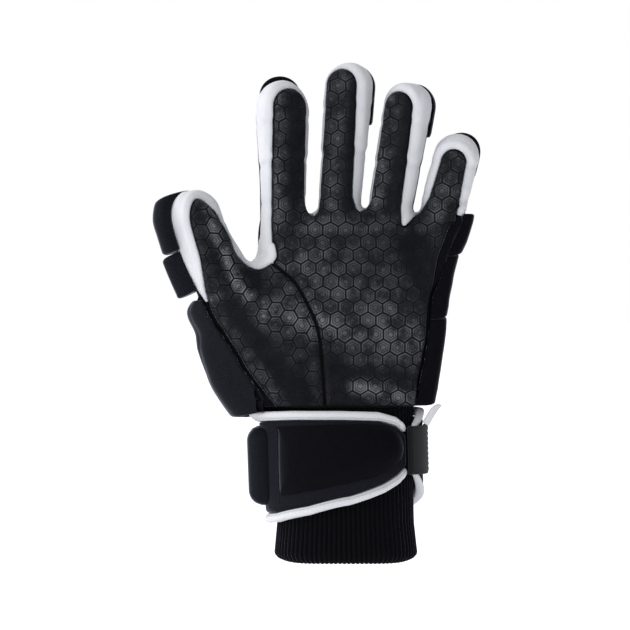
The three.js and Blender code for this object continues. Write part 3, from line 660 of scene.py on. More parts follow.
def printed_suede(name, turn):
    """Black suede with a silicone grip print turned by some degrees, worn to different strengths, with
    painted highlights and painted shade on the print.
    """
    made, tree, shader, place = new_material(name, 0.7, 0.08, 0.05, 0.4, (0.7, 0.8, 1.0))
    inputs = {"Vector": place, "Angle": np.radians(turn)}
    turned = node(tree, "ShaderNodeVectorRotate", inputs, rotation_type="Y_AXIS").outputs[0]
    wobble = node(tree, "ShaderNodeTexNoise", {"Vector": place, "Scale": 0.05, "Detail": 1.0})
    wobble = vector(tree, "SUBTRACT", wobble.outputs["Color"], (0.5, 0.5, 0.5))
    shifted = vector(tree, "ADD", turned, vector(tree, "MULTIPLY", wobble, (3, 0, 3)))
    cell = hexagons(tree, shifted, PRINT_PITCH)
    mask = math(tree, "MAXIMUM", stripe(tree, cell, 0.8, 0.07), stripe(tree, cell, 0.5, 0.045))
    mask = math(tree, "MAXIMUM", mask, ramp(tree, cell, 0.3, 0.24))
    mask = math(tree, "MAXIMUM", mask, ramp(tree, cell, 0.87, 0.84, 0.0, 0.42))
    worn = noise(tree, place, 9, 3, 0.65)
    fibre = noise(tree, place, 0.55, 2, 0.7)
    # the print's strength: painted highlight and painted shade from the per-vertex attribute, times random
    # wear
    strength = math(tree, "MULTIPLY", attribute(tree, "shine"), ramp(tree, worn, 0.34, 0.66, 0.2, 1.3))
    strength = math(tree, "MULTIPLY", strength, ramp(tree, fibre, 0.25, 0.6, 0.6, 1.0))
    printed = math(tree, "MULTIPLY", mask, strength)
    nap = blend(tree, noise(tree, place, 22, 3, 0.6), (0.0012, 0.0013, 0.0024), (0.0062, 0.0065, 0.009))
    nap = blend(tree, ramp(tree, fibre, 0.45, 0.85), nap, (0.011, 0.0115, 0.0155))
    # the print's colour, brightened by painted highlight and dimmed by painted shade
    color = blend(tree, printed, nap, (0.13, 0.134, 0.15))
    # painted shade in the turned-in seams along the panel edges
    color = blend(tree, ramp(tree, attribute(tree, "edge"), 1.7, 0.4), color, (0.002, 0.002, 0.0024))
    height = total(tree, (fibre, 0.5), (mask, 0.45))
    connect(tree, shader, color, height, 0.55, 0.25, ramp(tree, printed, 0.0, 0.6, 0.8, 0.5))
    return made


NEOPRENE_COLORS = ((0.0013, 0.0013, 0.0021), (0.0028, 0.0028, 0.0042), (0.0058, 0.006, 0.0086))


def neoprene(name, painted_light_gain=1.0, lines=0.0):
    """Black jersey laminated on foam: a fine knit face with a soft bloom at grazing angles."""
    made, tree, shader, place = new_material(name, 0.6, 0.03, 0.42, 0.28, (0.75, 0.8, 1.0))
    weave = noise(tree, place, 0.42, 1, 0.5)
    patch = noise(tree, place, 26, 3, 0.55)
    fold = noise(tree, place, 7, 2, 0.5, (1, 1, 2.2))
    # a gain above 1 makes a lighter copy of the same cloth: painted light
    dark, pale, fine = (tuple(painted_light_gain * c for c in color) for color in NEOPRENE_COLORS)
    color = blend(tree, patch, dark, pale)
    color = blend(tree, ramp(tree, weave, 0.42, 0.8), color, fine)
    height = total(tree, (weave, 0.3), (fold, 1.6))
    if lines:
        rows = waves(tree, axes(tree, place)[2], 1.5)
        color = blend(tree, rows, color, dark, lines)
        height = total(tree, (height, 1), (rows, -lines))
    connect(tree, shader, color, height, 0.4, 0.3, ramp(tree, patch, 0.2, 0.8, 0.64, 0.8))
    return made


def white_stretch(name):
    """White elastic knit, with painted shade greying it towards its seams and in the hollows of its folds.
    """
    made, tree, shader, place = new_material(name, 0.62, 0.3, 0.25, 0.4, (0.92, 0.95, 1.0))
    x, y, z = axes(tree, place)
    weave = math(tree, "MULTIPLY", waves(tree, total(tree, (x, 1), (y, 0.8)), 0.62), waves(tree, z, 0.5))
    fold = noise(tree, place, 9, 2, 0.5, (1, 1, 0.35))
    # painted shade: darker in the hollows of the folds, lighter on their crests
    color = blend(tree, ramp(tree, fold, 0.3, 0.7), (0.54, 0.55, 0.595), (0.60, 0.605, 0.63))
    color = blend(tree, weave, color, (0.50, 0.51, 0.565), 0.35)
    # painted shade towards the seams
    color = blend(tree, ramp(tree, attribute(tree, "edge"), 1.6, 0.1), color, (0.36, 0.38, 0.43), 0.55)
    connect(tree, shader, color, total(tree, (weave, 0.18), (fold, 2.2)), 0.35, 0.35)
    return made


def rib_knit(name):
    """Black ribbed knit, with painted shade in the grooves between its ribs."""
    made, tree, shader, place = new_material(name, 0.8, 0.03, 0.25, 0.3, (0.7, 0.75, 1.0))
    courses = waves(tree, axes(tree, place)[2], 1.15)
    yarn = noise(tree, place, 0.5, 2, 0.6)
    color = blend(tree, yarn, (0.0015, 0.0015, 0.0022), (0.005, 0.005, 0.0068))
    # painted shade in the grooves between the ribs
    color = blend(tree, attribute(tree, "groove"), color, (0.001, 0.001, 0.0012), 0.85)
    connect(tree, shader, color, total(tree, (courses, 0.6), (yarn, 0.5)), 0.6, 0.3)
    return made


def woven_binding(name):
    """White woven tape: fine ribs across it."""
    made, tree, shader, place = new_material(name, 0.7, 0.25, 0.2, 0.4, (0.92, 0.95, 1.0))
    ribs = waves(tree, attribute(tree, "along"), 0.9)
    yarn = noise(tree, place, 0.4, 2, 0.6)
    color = blend(tree, noise(tree, place, 9, 3, 0.6), (0.56, 0.57, 0.615), (0.63, 0.635, 0.665))
    color = blend(tree, ribs, color, (0.48, 0.49, 0.54), 0.22)
    # painted shade in the sunk row of stitches
    color = blend(tree, attribute(tree, "groove"), color, (0.33, 0.34, 0.38), 0.6)
    connect(tree, shader, color, total(tree, (ribs, 0.5), (yarn, 0.3)), 0.5, 0.25)
    return made


def strap_webbing(name):
    """Dark brushed hook-and-loop tape with a woven edge."""
    made, tree, shader, place = new_material(name, 0.85, 0.06, 0.15, 0.5, (0.85, 0.9, 1.0))
    pile = noise(tree, place, 0.45, 3, 0.75)
    color = blend(tree, noise(tree, place, 6, 3, 0.6), (0.0055, 0.0055, 0.006), (0.0105, 0.0106, 0.011))
    color = blend(tree, ramp(tree, pile, 0.45, 0.8), color, (0.024, 0.0243, 0.025))
    color = blend(tree, ramp(tree, attribute(tree, "edge"), 2.4, 1.6), color, (0.0045, 0.0045, 0.005), 0.8)
    connect(tree, shader, color, pile, 0.7, 0.3)
    return made


def thread(name):
    """Black twisted sewing thread, a little glossier than the cloth."""
    made, tree, shader, place = new_material(name, 0.7, 0.08, 0.05, 0.4, (0.8, 0.85, 1.0))
    x, _, z = axes(tree, place)
    twist = waves(tree, total(tree, (x, 1), (z, 1)), 0.5)
    color = blend(tree, twist, (0.003, 0.003, 0.004), (0.012, 0.0123, 0.0145))
    connect(tree, shader, color, twist, 0.5, 0.15)
    return made


SUEDE = printed_suede("suede_palm", 0)
SUEDE_THUMB = printed_suede("suede_thumb", 28)
NEOPRENE = neoprene("neoprene")
# Lighter copies of the black neoprene: painted light
NEOPRENE_PAINTED_LIGHT = neoprene("neoprene_painted_light", 2.8)
LINED_PAINTED_LIGHT = neoprene("neoprene_lined_painted_light", 3.2, 0.4)
WHITE = white_stretch("white_stretch")
KNIT = rib_knit("rib_knit")
BINDING = woven_binding("white_binding")
WEBBING = strap_webbing("strap_webbing")
THREAD = thread("thread")

# The hand's panels
GRID = 1.15
BOX = np.array([(-112.0, -34, 84), (86.0, 34, 296)])
PALM, THUMB, WHITES, HEM = 6, 7, 8, 9  # columns of data, after the place and the normal of each vertex
GAP = 0.12  # from a seam to the panel on either side of it
PANEL_WALL = 1.5
PUFF, PUFF_AT, PUFF_WIDTH = 0.6, 3.6, 1.4  # the rise beside a seam
TUCK_WIDTH = 2.3

verts, quads, normals = nets(skin_field, *BOX, GRID, folded_skin)
fields = [palm_distance(verts), thumb_distance(verts), white_distance(verts), HEM_Z - verts[:, 2]]
data = np.column_stack([verts, normals, *fields])
data, tris = clip(data, triangles(quads), data[:, HEM])


def panel(name, cuts, tuck, material, nodes, slot):
    """One sewn panel. cuts has a data column and its sign for each edge; tuck is how far edges turn in."""
    d, t = data, tris
    for column, sign in cuts:
        d, t = clip(d, t, sign * d[:, column] + GAP)
    inward = [-(sign * d[:, column] + GAP) for column, sign in cuts]
    edge = np.clip(np.min([*inward, -d[:, HEM]], axis=0), 0, None)
    normal = unit(d[:, 3:6])
    shape = PUFF * bell(edge - PUFF_AT, PUFF_WIDTH) - tuck * np.clip(1 - edge / TUCK_WIDTH, 0, 1) ** 2
    outer = d[:, :3] + normal * shape[:, None]
    verts, faces = shell(outer, outer - normal * PANEL_WALL, t)
    # painted highlight and painted shade on the grip print, with its wear, kept per vertex
    strength = np.tile(shine(d[:, :3]), 2)
    return dress(name, verts, faces, material, nodes, slot, edge=np.tile(edge, 2), shine=strength)


GUSSETS = ["gusset_" + n for n in ("thumb_side", "thumb_index", "index_middle", "middle_ring", "ring_little",
                                   "little_side")]
panel("palm", [(PALM, 1)], 1.5, SUEDE, ["palm_panel"], "palm_suede")
panel("thumb_front", [(THUMB, 1), (PALM, -1)], 1.5, SUEDE_THUMB, ["thumb_panel"], "palm_suede")
panel("gussets", [(WHITES, 1), (PALM, -1), (THUMB, -1)], 0.5, WHITE, GUSSETS, "white_stretch")
panel("back", [(WHITES, -1), (PALM, -1), (THUMB, -1)], 0.5, NEOPRENE, ["back_panel"], "neoprene")


def tube(points, closed):
    """Quads over a grid of closed rings. closed says whether the last ring meets the first."""
    rings, sides = points.shape[:2]
    index = np.arange(rings * sides).reshape(rings, sides)
    a = index if closed else index[:-1]
    b = np.roll(index, -1, axis=0) if closed else index[1:]
    quads = np.stack([a, b, np.roll(b, -1, axis=1), np.roll(a, -1, axis=1)], -1).reshape(-1, 4)
    return points.reshape(-1, 3), quads


def capped(points):
    """Triangles over an open run of rings, with a fan over each end."""
    verts, quads = tube(points, False)
    rings, sides = points.shape[:2]
    last = (rings - 1) * sides
    ring = np.arange(sides)
    middle = len(verts)
    verts = np.concatenate([verts, [points[0].mean(0), points[-1].mean(0)]])
    first = np.stack([ring, np.roll(ring, -1), np.full(sides, middle)], 1)
    end = np.stack([np.roll(ring, -1) + last, ring + last, np.full(sides, middle + 1)], 1)
    return verts, np.concatenate([triangles(quads), first, end])


# Stitches
STITCH_LENGTH, STITCH_STEP, STITCH_RADIUS = 2.5, 3.5, 0.34
SIGHT_START, SIGHT_STEPS, SIGHT_SHARE = -40.0, 24, 0.8
STITCH_STATIONS = (  # share of the length, fullness
    (-0.5, 0.25), (-0.42, 0.8), (-0.2, 1), (0.2, 1), (0.42, 0.8), (0.5, 0.25))


def along_line(points, step_size):
    """Points at equal steps along a line of points, with the directions there."""
    length = run_lengths(points)
    at = np.arange(step_size / 2, length[-1], step_size)
    spots, ahead, behind = (np.stack([np.interp(at + shift, length, column) for column in points.T], -1)
                            for shift in (0, 0.5, -0.5))
    return spots, unit(ahead - behind)


def on_palm_side(flat):
    """Where lines of sight along +Y through x and z first meet the folded skin."""
    p = np.column_stack([flat[:, 0], np.full(len(flat), SIGHT_START), flat[:, 1]])
    for _ in range(SIGHT_STEPS):
        p[:, 1] += SIGHT_SHARE * folded_skin(p)
    return p


def stitches(name, spots, ways, normals, slot="palm_suede"):
    """One mesh of short rounded threads, each along its way and lying on its normal."""
    ring = np.radians(np.arange(0, 360, 60))
    side = unit(np.cross(normals, ways))
    around = side[:, None] * np.cos(ring)[:, None] + normals[:, None] * 0.75 * np.sin(ring)[:, None]
    rows = []
    for share, full in STITCH_STATIONS:
        sunk = normals * 0.5 * (abs(share) * 2) ** 4 * STITCH_RADIUS
        middle = spots + ways * share * STITCH_LENGTH - sunk
        rows.append(middle[:, None] + around * full * STITCH_RADIUS)
    threads = [capped(points) for points in np.stack(rows, 1)]
    verts = np.concatenate([v for v, f in threads])
    faces = np.concatenate([f + i * len(v) for i, (v, f) in enumerate(threads)])
    return dress(name, verts, faces, THREAD, [], slot)


def palm_stitches(name, line, low, high, offset, lift):
    """A row of stitches beside a line on the palm side, between two levels. The line is given as x and z."""
    flat, way = along_line(line[(line[:, 1] > low) & (line[:, 1] < high)], STITCH_STEP)
    flat = flat + offset * np.column_stack([way[:, 1], -way[:, 0]])
    spots = on_palm_side(flat)
    normals = unit(gradient(folded_skin, spots))
    ways = np.column_stack([way[:, 0], 0 * way[:, 0], way[:, 1]])
    ways = unit(ways - normals * (ways * normals).sum(1, keepdims=True))
    return stitches(name, spots + normals * lift, ways, normals)


# Pads on the hand, the fingers and the thumb
PAD_GRID = 1.15
PAD_SLIT = 1.2  # between two pads of a finger
PAD_RIM, MELT_RIM = 0.3, 0.26  # how full a pad is at its edge
PAD_FILL = 0.7
PAD_MARGIN = 8  # how far a pad's mesh may reach beyond its CAD node
PAD_NAMES = ("root_pad", "mid_pad", "tip_pad")
SIDE_BLEND, END_BLEND, FOOT_BLEND = 3, 0.9, 1
FINGER_RISE = ((0, 1), (6.0, 6.0))  # levels and heights
FINGER_PLANE = 4.5  # how far behind a finger's middle line its pads begin
FINGER_PADS = {  # half width of the tip pad, its lean, how far it stands over the fingertip
    "index": (12.4, -9, 6), "middle": (12.2, -6, 0.8), "ring": (12.2, -8, 1.6), "little": (11.5, -14, 3.8)}
NARROWER = 2.2  # by how much the other pads of a finger are narrower on each side
THUMB_PADS = {  # first row, last row, rise
    "thumb_mid_pad": (3.24, 4.26, 10.5), "thumb_tip_pad": (4.3, None, 9)}
THUMB_PAD_RANGE = (118, 251)
THUMB_OVER = 1.8
HAND_PADS = {  # low, high, first angle, last angle, lean of both ends, rise as levels and heights
    "knuckle_band": (180.4, 203.8, 68, 240, (0.2, 0.06), ((180, 187, 198, 206), (5.7, 6.2, 5.8, 5))),
    "hand_band": (143.9, 180.1, 69, 232, (0.2, 0.2), ((144, 150, 162, 175, 180), (6.8, 7.3, 6.5, 5.4, 4.7))),
    "heel_band": (92.8, 143.6, 69, 230, (0.06, 0.2), ((93, 102, 120, 136, 143), (8.8, 9.2, 8.1, 7.5, 6.9)))}
BASE_PAD = (84.8, 153.2, 236)  # low, high, first angle
BASE_RISES = ((84, 98, 110, 125, 140, 153), (9.4, 8.4, 7.8, 8.5, 7.2, 5.8))


def signed_power(value, exponent):
    return np.sign(value) * np.abs(value) ** exponent


def section_angle(across, front):
    """Angle round a section in degrees: 0 at the palm side, 90 at the little finger's side."""
    return np.degrees(np.arctan2(signed_power(across, ROUND / 2), signed_power(front, ROUND / 2))) % 360


def beyond(value, low, high):
    return np.maximum(low - value, value - high)


def back_plane(u, w, middle, depth):
    """How far short of a plane across the section a point is, with the plane's normal at an angle."""
    c, s = cos_sin(middle)
    return depth - (u * s + w * c)


def finger_pad_zone(f, start, end, half, lean, over):
    """Distances to a finger pad's sides and ends, negative inside. The tip pad ends in a half circle."""
    middle = 180 + lean if end is None else 180 - f["turn"] / 2
    top = f["length"] + over if end is None else end - PAD_SLIT
    c, s = cos_sin(middle)

    def zone(p):
        along, u, w = finger_coords(f, p)
        lateral = np.abs(u * c - w * s)
        plane = back_plane(u, w, middle, FINGER_PLANE)
        if end is None:
            past = np.maximum(along - (top - half), 0)
            return smax(np.hypot(lateral, past) - half, plane, SIDE_BLEND), start - along
        return smax(lateral - half + NARROWER, plane, SIDE_BLEND), beyond(along, start, top)
    return zone


def thumb_pad_zone(start, end):
    """The same for a pad on the thumb, between two of the thumb's rows."""
    first, last = THUMB_PAD_RANGE
    middle, reach = (first + last) / 2, (last - first) / 2
    low = np.interp(start, THUMB_AT, THUMB_LENGTH)

    def zone(p):
        at, past, u, w = thumb_coords(p)
        along = np.interp(at, THUMB_AT, THUMB_LENGTH) + past
        if end is None:
            plane = 6.6 - 3 * step(low + 8, THUMB_LENGTH[-1] + 12, along)
            top = THUMB_LENGTH[-1] + THUMB_CAP + THUMB_OVER
            return back_plane(u, w, middle, plane), beyond(along, low, top)
        round_way = np.radians(np.abs(section_angle(u, w) - middle) - reach) * np.hypot(u, w)
        return round_way, beyond(along, low, np.interp(end, THUMB_AT, THUMB_LENGTH))
    return zone


def hand_pad_zone(low, high, first, last, leans):
    """The ends of a band lean by a share of the depth, so that no light passes between two of them."""
    def zone(p):
        x, y, z = p[..., 0], p[..., 1], p[..., 2]
        middle, half, depth = hand_section(z)
        turn = section_angle((x - middle) / half, -y / depth)
        c, s = cos_sin(turn)
        end = np.maximum(low - z + leans[0] * y, z - leans[1] * y - high)
        return np.radians(beyond(turn, first, last)) * np.hypot(half * c, depth * s), end
    return zone


def base_pad_zone(low, high, first):
    """The pad beside the thumb's root: its cover runs on to the thumb panel's seam, and its foot rises."""
    seam_x, seam_z = np.array(THUMB_EDGE[:13:-1]).T

    def zone(p):
        x, y, z = p[..., 0], p[..., 1], p[..., 2]
        middle, half, depth = hand_section(z)
        back = np.radians(first - section_angle((x - middle) / half, -y / depth)) * half
        front = (x - np.interp(z, seam_z, seam_x) + 1.6) * 0.82 - 0.8 * np.maximum(y + 4, 0)
        foot = low + 0.25 * np.maximum(x + 66, 0) * step(4, -4, y)
        return np.maximum(back, front), np.maximum(foot - z, z - high)
    return zone


def rounding(distance, width):
    """How full a pad is at a distance inside its edge, from its rim to 1."""
    t = np.clip(-distance / width, 0, 1)
    return PAD_RIM + (1 - PAD_RIM) * np.sqrt(1 - (1 - t) ** 2)


def melting(distance, width):
    """The same for a pad that thins out softly to its edge."""
    return MELT_RIM + (1 - MELT_RIM) * step(1, width, -distance)


def pad(node, zone, rises, side_width, end_width, end_loss, material=NEOPRENE, sides=rounding):
    """A foam pad in its cover, a little clear of the skin under it. rises gives levels and heights."""
    def field(p):
        skin = skin_field(p)
        side, end = zone(p)
        full = sides(side, side_width) * (1 - end_loss + end_loss * rounding(end, end_width))
        top = skin - SEAT - np.interp(p[..., 2], *rises) * full
        return smax(smax(smax(top, side, SIDE_BLEND), end, END_BLEND), SEAT - skin, FOOT_BLEND)

    low, high = (np.array(corner) * 1000 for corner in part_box(node))
    verts, quads, _ = nets(field, low - PAD_MARGIN, high + PAD_MARGIN, PAD_GRID)
    return dress(node + "_cover", verts, quads, material, [node], "neoprene", PAD_FILL)


for name, f in FINGERS.items():
    starts = (*f["pads"], None)
    for start, end, kind in zip(starts, starts[1:], PAD_NAMES[-len(f["pads"]):]):
        pad(f"{name}_{kind}", finger_pad_zone(f, start, end, *FINGER_PADS[name]), FINGER_RISE, 8, 3.5, 0.65)
for name, (start, end, rise) in THUMB_PADS.items():
    rises = ((0, 198, 212, 222), (rise, rise, 0.86 * rise, 0.6 * rise))
    pad(name, thumb_pad_zone(start, end), rises, 10, 2.2, 0.5, NEOPRENE_PAINTED_LIGHT)
for name, (*zone, rises) in HAND_PADS.items():
    pad(name, hand_pad_zone(*zone), rises, 7, 1.6, 0.4)
pad("thumb_base_pad", base_pad_zone(*BASE_PAD), BASE_RISES, 26, 2.2, 0.35, NEOPRENE_PAINTED_LIGHT, melting)

# Knit cuff and wrist wrap
CUFF_ROWS = np.array([  # z, left, right, half depth
    (0, -37.4, 38.4, 27), (2, -40.2, 41.2, 28.6), (5, -41.3, 42.3, 29.4), (24, -39.6, 40.2, 27.8),
    (78, -41.5, 39, 23.8), (98, -59.5, 40.4, 20)], float)
CUFF_TOP = CUFF_ROWS[-1, 0]
CUFF_WALL, HEM_TILT = 2.6, 0.115
RIBS, PER_RIB, RIB_DEPTH = 80, 6, 0.9
WRAP_ROWS = np.array([  # angle, top, bottom
    (64, 81.5, 52), (90, 90.5, 40), (125, 91, 31), (180, 91, 26), (270, 87.5, 23.5), (300, 89, 24.5),
    (335, 90, 29), (362, 90, 35), (386, 89.3, 42), (399, 86.5, 47), (409, 81.5, 52.5)], float)
WRAP_GAP, WRAP_WALL = 0.9, 5.5
WRAP_FILL = 0.5
PIPING_HEIGHT, PIPING_DEPTH, PIPING_SEAM = 5.2, 6.4, 0.35
PIPING_ROW, PIPING_STITCH = 28, 2.4  # where round the tape its stitches lie, and how long one is
WRAP_PAD_GRID = 1.2
TAIL_HALF, TAIL_THICK, TAIL_LENGTH = 2.1, 0.9, 12
STRAP_FROM, STRAP_TO, STRAP_LOW, STRAP_HIGH, STRAP_WALL = 407, 460, 52.5, 81, 1.8
STRAP_SEAT = WRAP_GAP + WRAP_WALL / 2 + PIPING_DEPTH / 2 + PIPING_SEAM
STRAP_OUT = STRAP_SEAT + STRAP_WALL
FRONT_PAD = [  # angle and level
    (310, 43), (315, 40.8), (342, 44), (375, 51), (394, 57.5), (402, 63.5), (402.5, 71.5), (394, 79.5),
    (375, 82.5), (342, 81.8), (316, 80.3), (311, 77.5)]
SIDE_PAD = (195, 292, 34, 80)  # first angle, last angle, low, high
TAIL = np.array([(46, 82), (49, 87), (51, 90), (53, 91.8), (55.4, 92.6)])  # x and z


def cuff_point(z, angle, grow):
    """A point round the cuff; grow is how far outside the ribs."""
    z, angle, grow = np.broadcast_arrays(z, angle, grow)
    left, right, depth = columns(z, CUFF_ROWS)
    c, s = (signed_power(part, 2 / ROUND) for part in cos_sin(angle))
    x = (left + right) / 2 + ((right - left) / 2 + grow) * s
    y = -(depth + grow) * c
    return np.stack([x, y, z - HEM_TILT * y * np.clip(1 - z / HEM_Z, 0, 1)], -1)


TURN = np.linspace(0, 720, 2881)
ARC = run_lengths(cuff_point(50, TURN, WRAP_GAP + WRAP_WALL))


def arc_of(angle):
    return np.interp(angle, TURN, ARC)


def angle_of(arc):
    return np.interp(arc, ARC, TURN)


def knit_cuff():
    """A closed ribbed tube, with plain rounded hems and a hem that dips between the ribs."""
    angle = angle_of(np.linspace(arc_of(0), arc_of(360), RIBS * PER_RIB, endpoint=False))
    rib = 1 - np.abs(np.sin(np.pi * np.arange(RIBS * PER_RIB) / PER_RIB)) ** 0.7
    half = CUFF_WALL / 2
    turn = np.radians(np.linspace(90, 270, 9))
    outer, inner = np.linspace(CUFF_TOP, half, 40)[:-1], np.linspace(half, CUFF_TOP, 16)[1:]
    z = np.concatenate([outer, half + half * np.cos(turn), inner])
    grow = np.concatenate([0 * outer, -half + half * np.sin(turn), 0 * inner - CUFF_WALL])
    share = np.concatenate([1 + 0 * outer, 0.5 + 0.5 * np.sin(turn), 0 * inner])
    groove = share[:, None] * rib
    points = cuff_point(z[:, None], angle, grow[:, None] - RIB_DEPTH * groove)
    lifted = 0.7 * RIB_DEPTH * rib + 2.2 * np.sin(np.radians(angle)) ** 6
    points[..., 2] += lifted * step(10, 0, z)[:, None]
    verts, quads = tube(points.transpose(1, 0, 2), True)
    return dress("cuff_knit", verts, quads, KNIT, ["knit_cuff"], "knit", groove=groove.T.ravel())


def ends(first, last, steps, length):
    """Angles along a band and how full it is at each, with both ends rounded over some degrees."""
    turn = np.radians([90, 75, 60, 45, 30, 15])
    start = first + length * (1 - np.sin(turn))
    end = last - length * (1 - np.sin(turn[::-1]))
    full = np.concatenate([np.cos(turn), np.ones(steps), np.cos(turn[::-1])])
    angle = np.concatenate([start, np.linspace(first + length, last - length, steps), end])
    return angle, np.maximum(full, 0.1)


def slab(low, high, inner, outer, across, full):
    """Rings of level and distance out round a flat slab with round edges, one for each angle."""
    half = (outer - inner) / 2 * full
    mid = (outer + inner) / 2
    turn = np.linspace(0, np.pi, 8)
    share = np.linspace(0, 1, across + 1)[1:-1]
    bottom, top = low + half, high - half
    face = bottom[:, None] + (top - bottom)[:, None] * share
    level = np.concatenate([top[:, None] + half[:, None] * np.sin(turn), face[:, ::-1],
                            bottom[:, None] - half[:, None] * np.sin(turn), face], 1)
    flat = np.ones((len(full), across - 1))
    out = np.concatenate([mid + half[:, None] * np.cos(turn), mid - half[:, None] * flat,
                          mid - half[:, None] * np.cos(turn), mid + half[:, None] * flat], 1)
    return level, out


def piping_height(angle):
    """The binding is narrower where it starts beside the strap."""
    return PIPING_HEIGHT * np.interp(angle, (64, 100), (0.6, 1))


def wrap_share(angle):
    """The wrap is thinner where it starts beside the strap."""
    return np.interp(angle, (64, 100), (0.5, 1))


def wrist_wrap():
    angle, full = ends(WRAP_ROWS[0, 0], WRAP_ROWS[-1, 0], 240, 5)
    top, bottom = columns(angle, WRAP_ROWS)
    bound, full = piping_height(angle) + PIPING_SEAM, full * wrap_share(angle)
    level, out = slab(bottom + bound, top - bound, WRAP_GAP, WRAP_GAP + WRAP_WALL, 26, full)
    verts, faces = capped(cuff_point(level, angle[:, None], out))
    return dress("wrap_cover", verts, faces, NEOPRENE_PAINTED_LIGHT, ["wrist_wrap"], "neoprene", WRAP_FILL)


def piping(name, node, upper):
    """Bound edge of the wrap: a tape folded over it, with a row of stitches sunk in near its inner side."""
    angle, full = ends(WRAP_ROWS[0, 0], WRAP_ROWS[-1, 0], 420, 4)
    top, bottom = columns(angle, WRAP_ROWS)
    high, arc = piping_height(angle), arc_of(angle)
    middle = top - high / 2 if upper else bottom + high / 2
    turn = np.radians(np.arange(0, 360, 9))
    from_row = np.angle(np.exp(1j * (turn - np.radians(-PIPING_ROW if upper else PIPING_ROW))))
    sunk = bell(np.degrees(from_row), 9)
    level = middle[:, None] + (high / 2 * full)[:, None] * signed_power(np.sin(turn), 0.75)
    puffs = 0.12 * np.sin(arc * 2 * np.pi / PIPING_STITCH)[:, None] * bell(np.cos(turn) - 1, 0.5)
    reach = PIPING_DEPTH / 2 * signed_power(np.cos(turn), 0.75) - 0.55 * sunk + puffs
    out = WRAP_GAP + WRAP_WALL / 2 + (full * wrap_share(angle))[:, None] * reach
    verts, faces = capped(cuff_point(level, angle[:, None], out))
    along, groove = np.repeat(arc, len(turn)), np.tile(sunk, len(angle))
    return dress(name, verts, faces[:, ::-1], BINDING, [node], "white_binding",
                 along=np.append(along, [0, 0]), groove=np.append(groove, [0, 0]))


def wrap_pad(name, node, outline, rise, edge, soft, material):
    """A moulded pad on the wrap, with its outline given as way round the cuff and level."""
    low, high = outline.min(0) - 1, outline.max(0) + 1
    n = np.ceil((high - low) / WRAP_PAD_GRID).astype(int)
    grid = np.meshgrid(*(np.linspace(*span) for span in zip(low, high, n)), indexing="ij")
    flat = np.stack(grid, -1).reshape(-1, 2)
    index = np.arange(len(flat)).reshape(n)
    quads = np.stack([index[:-1, :-1], index[1:, :-1], index[1:, 1:], index[:-1, 1:]], -1).reshape(-1, 4)
    away = polygon_distance(flat, outline)
    flat, faces = clip(np.column_stack([flat, away]), triangles(quads), away)
    inward = np.clip(-flat[:, 2] / edge, 0, 1)
    height = rise * (0.01 + 0.99 * (1 - (1 - inward) ** 2.2) ** soft)
    seat, angle = WRAP_GAP + WRAP_WALL + SEAT, angle_of(flat[:, 0])
    outer, inner = (cuff_point(flat[:, 1], angle, out) for out in (seat + height, seat))
    piece = dress(name, *shell(outer, inner, faces), material, [node], "neoprene", PAD_FILL)
    piece.data.set_sharp_from_angle(angle=np.radians(40))


def rounded_box(x0, x1, z0, z1, radius):
    turn = np.arange(0, 90, 15)
    corners = ((x1 - radius, z1 - radius), (x0 + radius, z1 - radius), (x0 + radius, z0 + radius),
               (x1 - radius, z0 + radius))
    return np.concatenate([np.add(corner, radius * np.stack(cos_sin(turn + 90 * i), -1))
                           for i, corner in enumerate(corners)])


def strap():
    angle, full = ends(STRAP_FROM, STRAP_TO, 60, 0.6)
    low, high = np.full((2, len(angle)), [[STRAP_LOW], [STRAP_HIGH]])
    level, out = slab(low, high, STRAP_SEAT, STRAP_OUT, 20, full)
    verts, faces = capped(cuff_point(level, angle[:, None], out))
    arc = arc_of(angle)[:, None] + 0 * level
    edge = np.minimum.reduce([level - STRAP_LOW, STRAP_HIGH - level, arc - arc[0], arc[-1] - arc])
    return dress("strap_webbing", verts, faces, WEBBING, ["closure_strap"], "webbing",
                 edge=np.append(edge, [0, 0]))


def cuff_stitches(name, angle, low, high, out, slot):
    """An upright row of stitches round the cuff, at one angle and a distance out."""
    spots, ways = along_line(cuff_point(np.linspace(low, high, 24), angle, out), STITCH_STEP - 0.6)
    normals = unit(cuff_point(spots[:, 2], angle, out + 1) - cuff_point(spots[:, 2], angle, out))
    return stitches(name, spots + normals * 0.1, ways, normals, slot)


def binding_tail():
    """The cut end of the top binding, standing off beside the strap."""
    share = np.linspace(0, 1, 15)
    x, z = (np.interp(share, np.linspace(0, 1, len(TAIL)), column) for column in TAIL.T)
    middle = np.stack([x, -14 + 2.5 * share, z], -1)
    out = unit(np.cross(unit(np.gradient(middle, axis=0)), [0, 1, 0]))
    wide = TAIL_HALF * np.sqrt(np.clip(1 - share**3, 0.004, 1))
    turn = np.radians(np.arange(0, 360, 30))
    rings = (middle[:, None] + out[:, None] * wide[:, None, None] * np.cos(turn)[None, :, None]
             + np.array([0, TAIL_THICK, 0]) * np.sin(turn)[None, :, None])
    verts, faces = capped(rings)
    along = np.append(np.repeat(share * TAIL_LENGTH, len(turn)), [0, TAIL_LENGTH])
    return dress("binding_tail", verts, faces, BINDING, [], "white_binding", along=along, groove=0 * along)


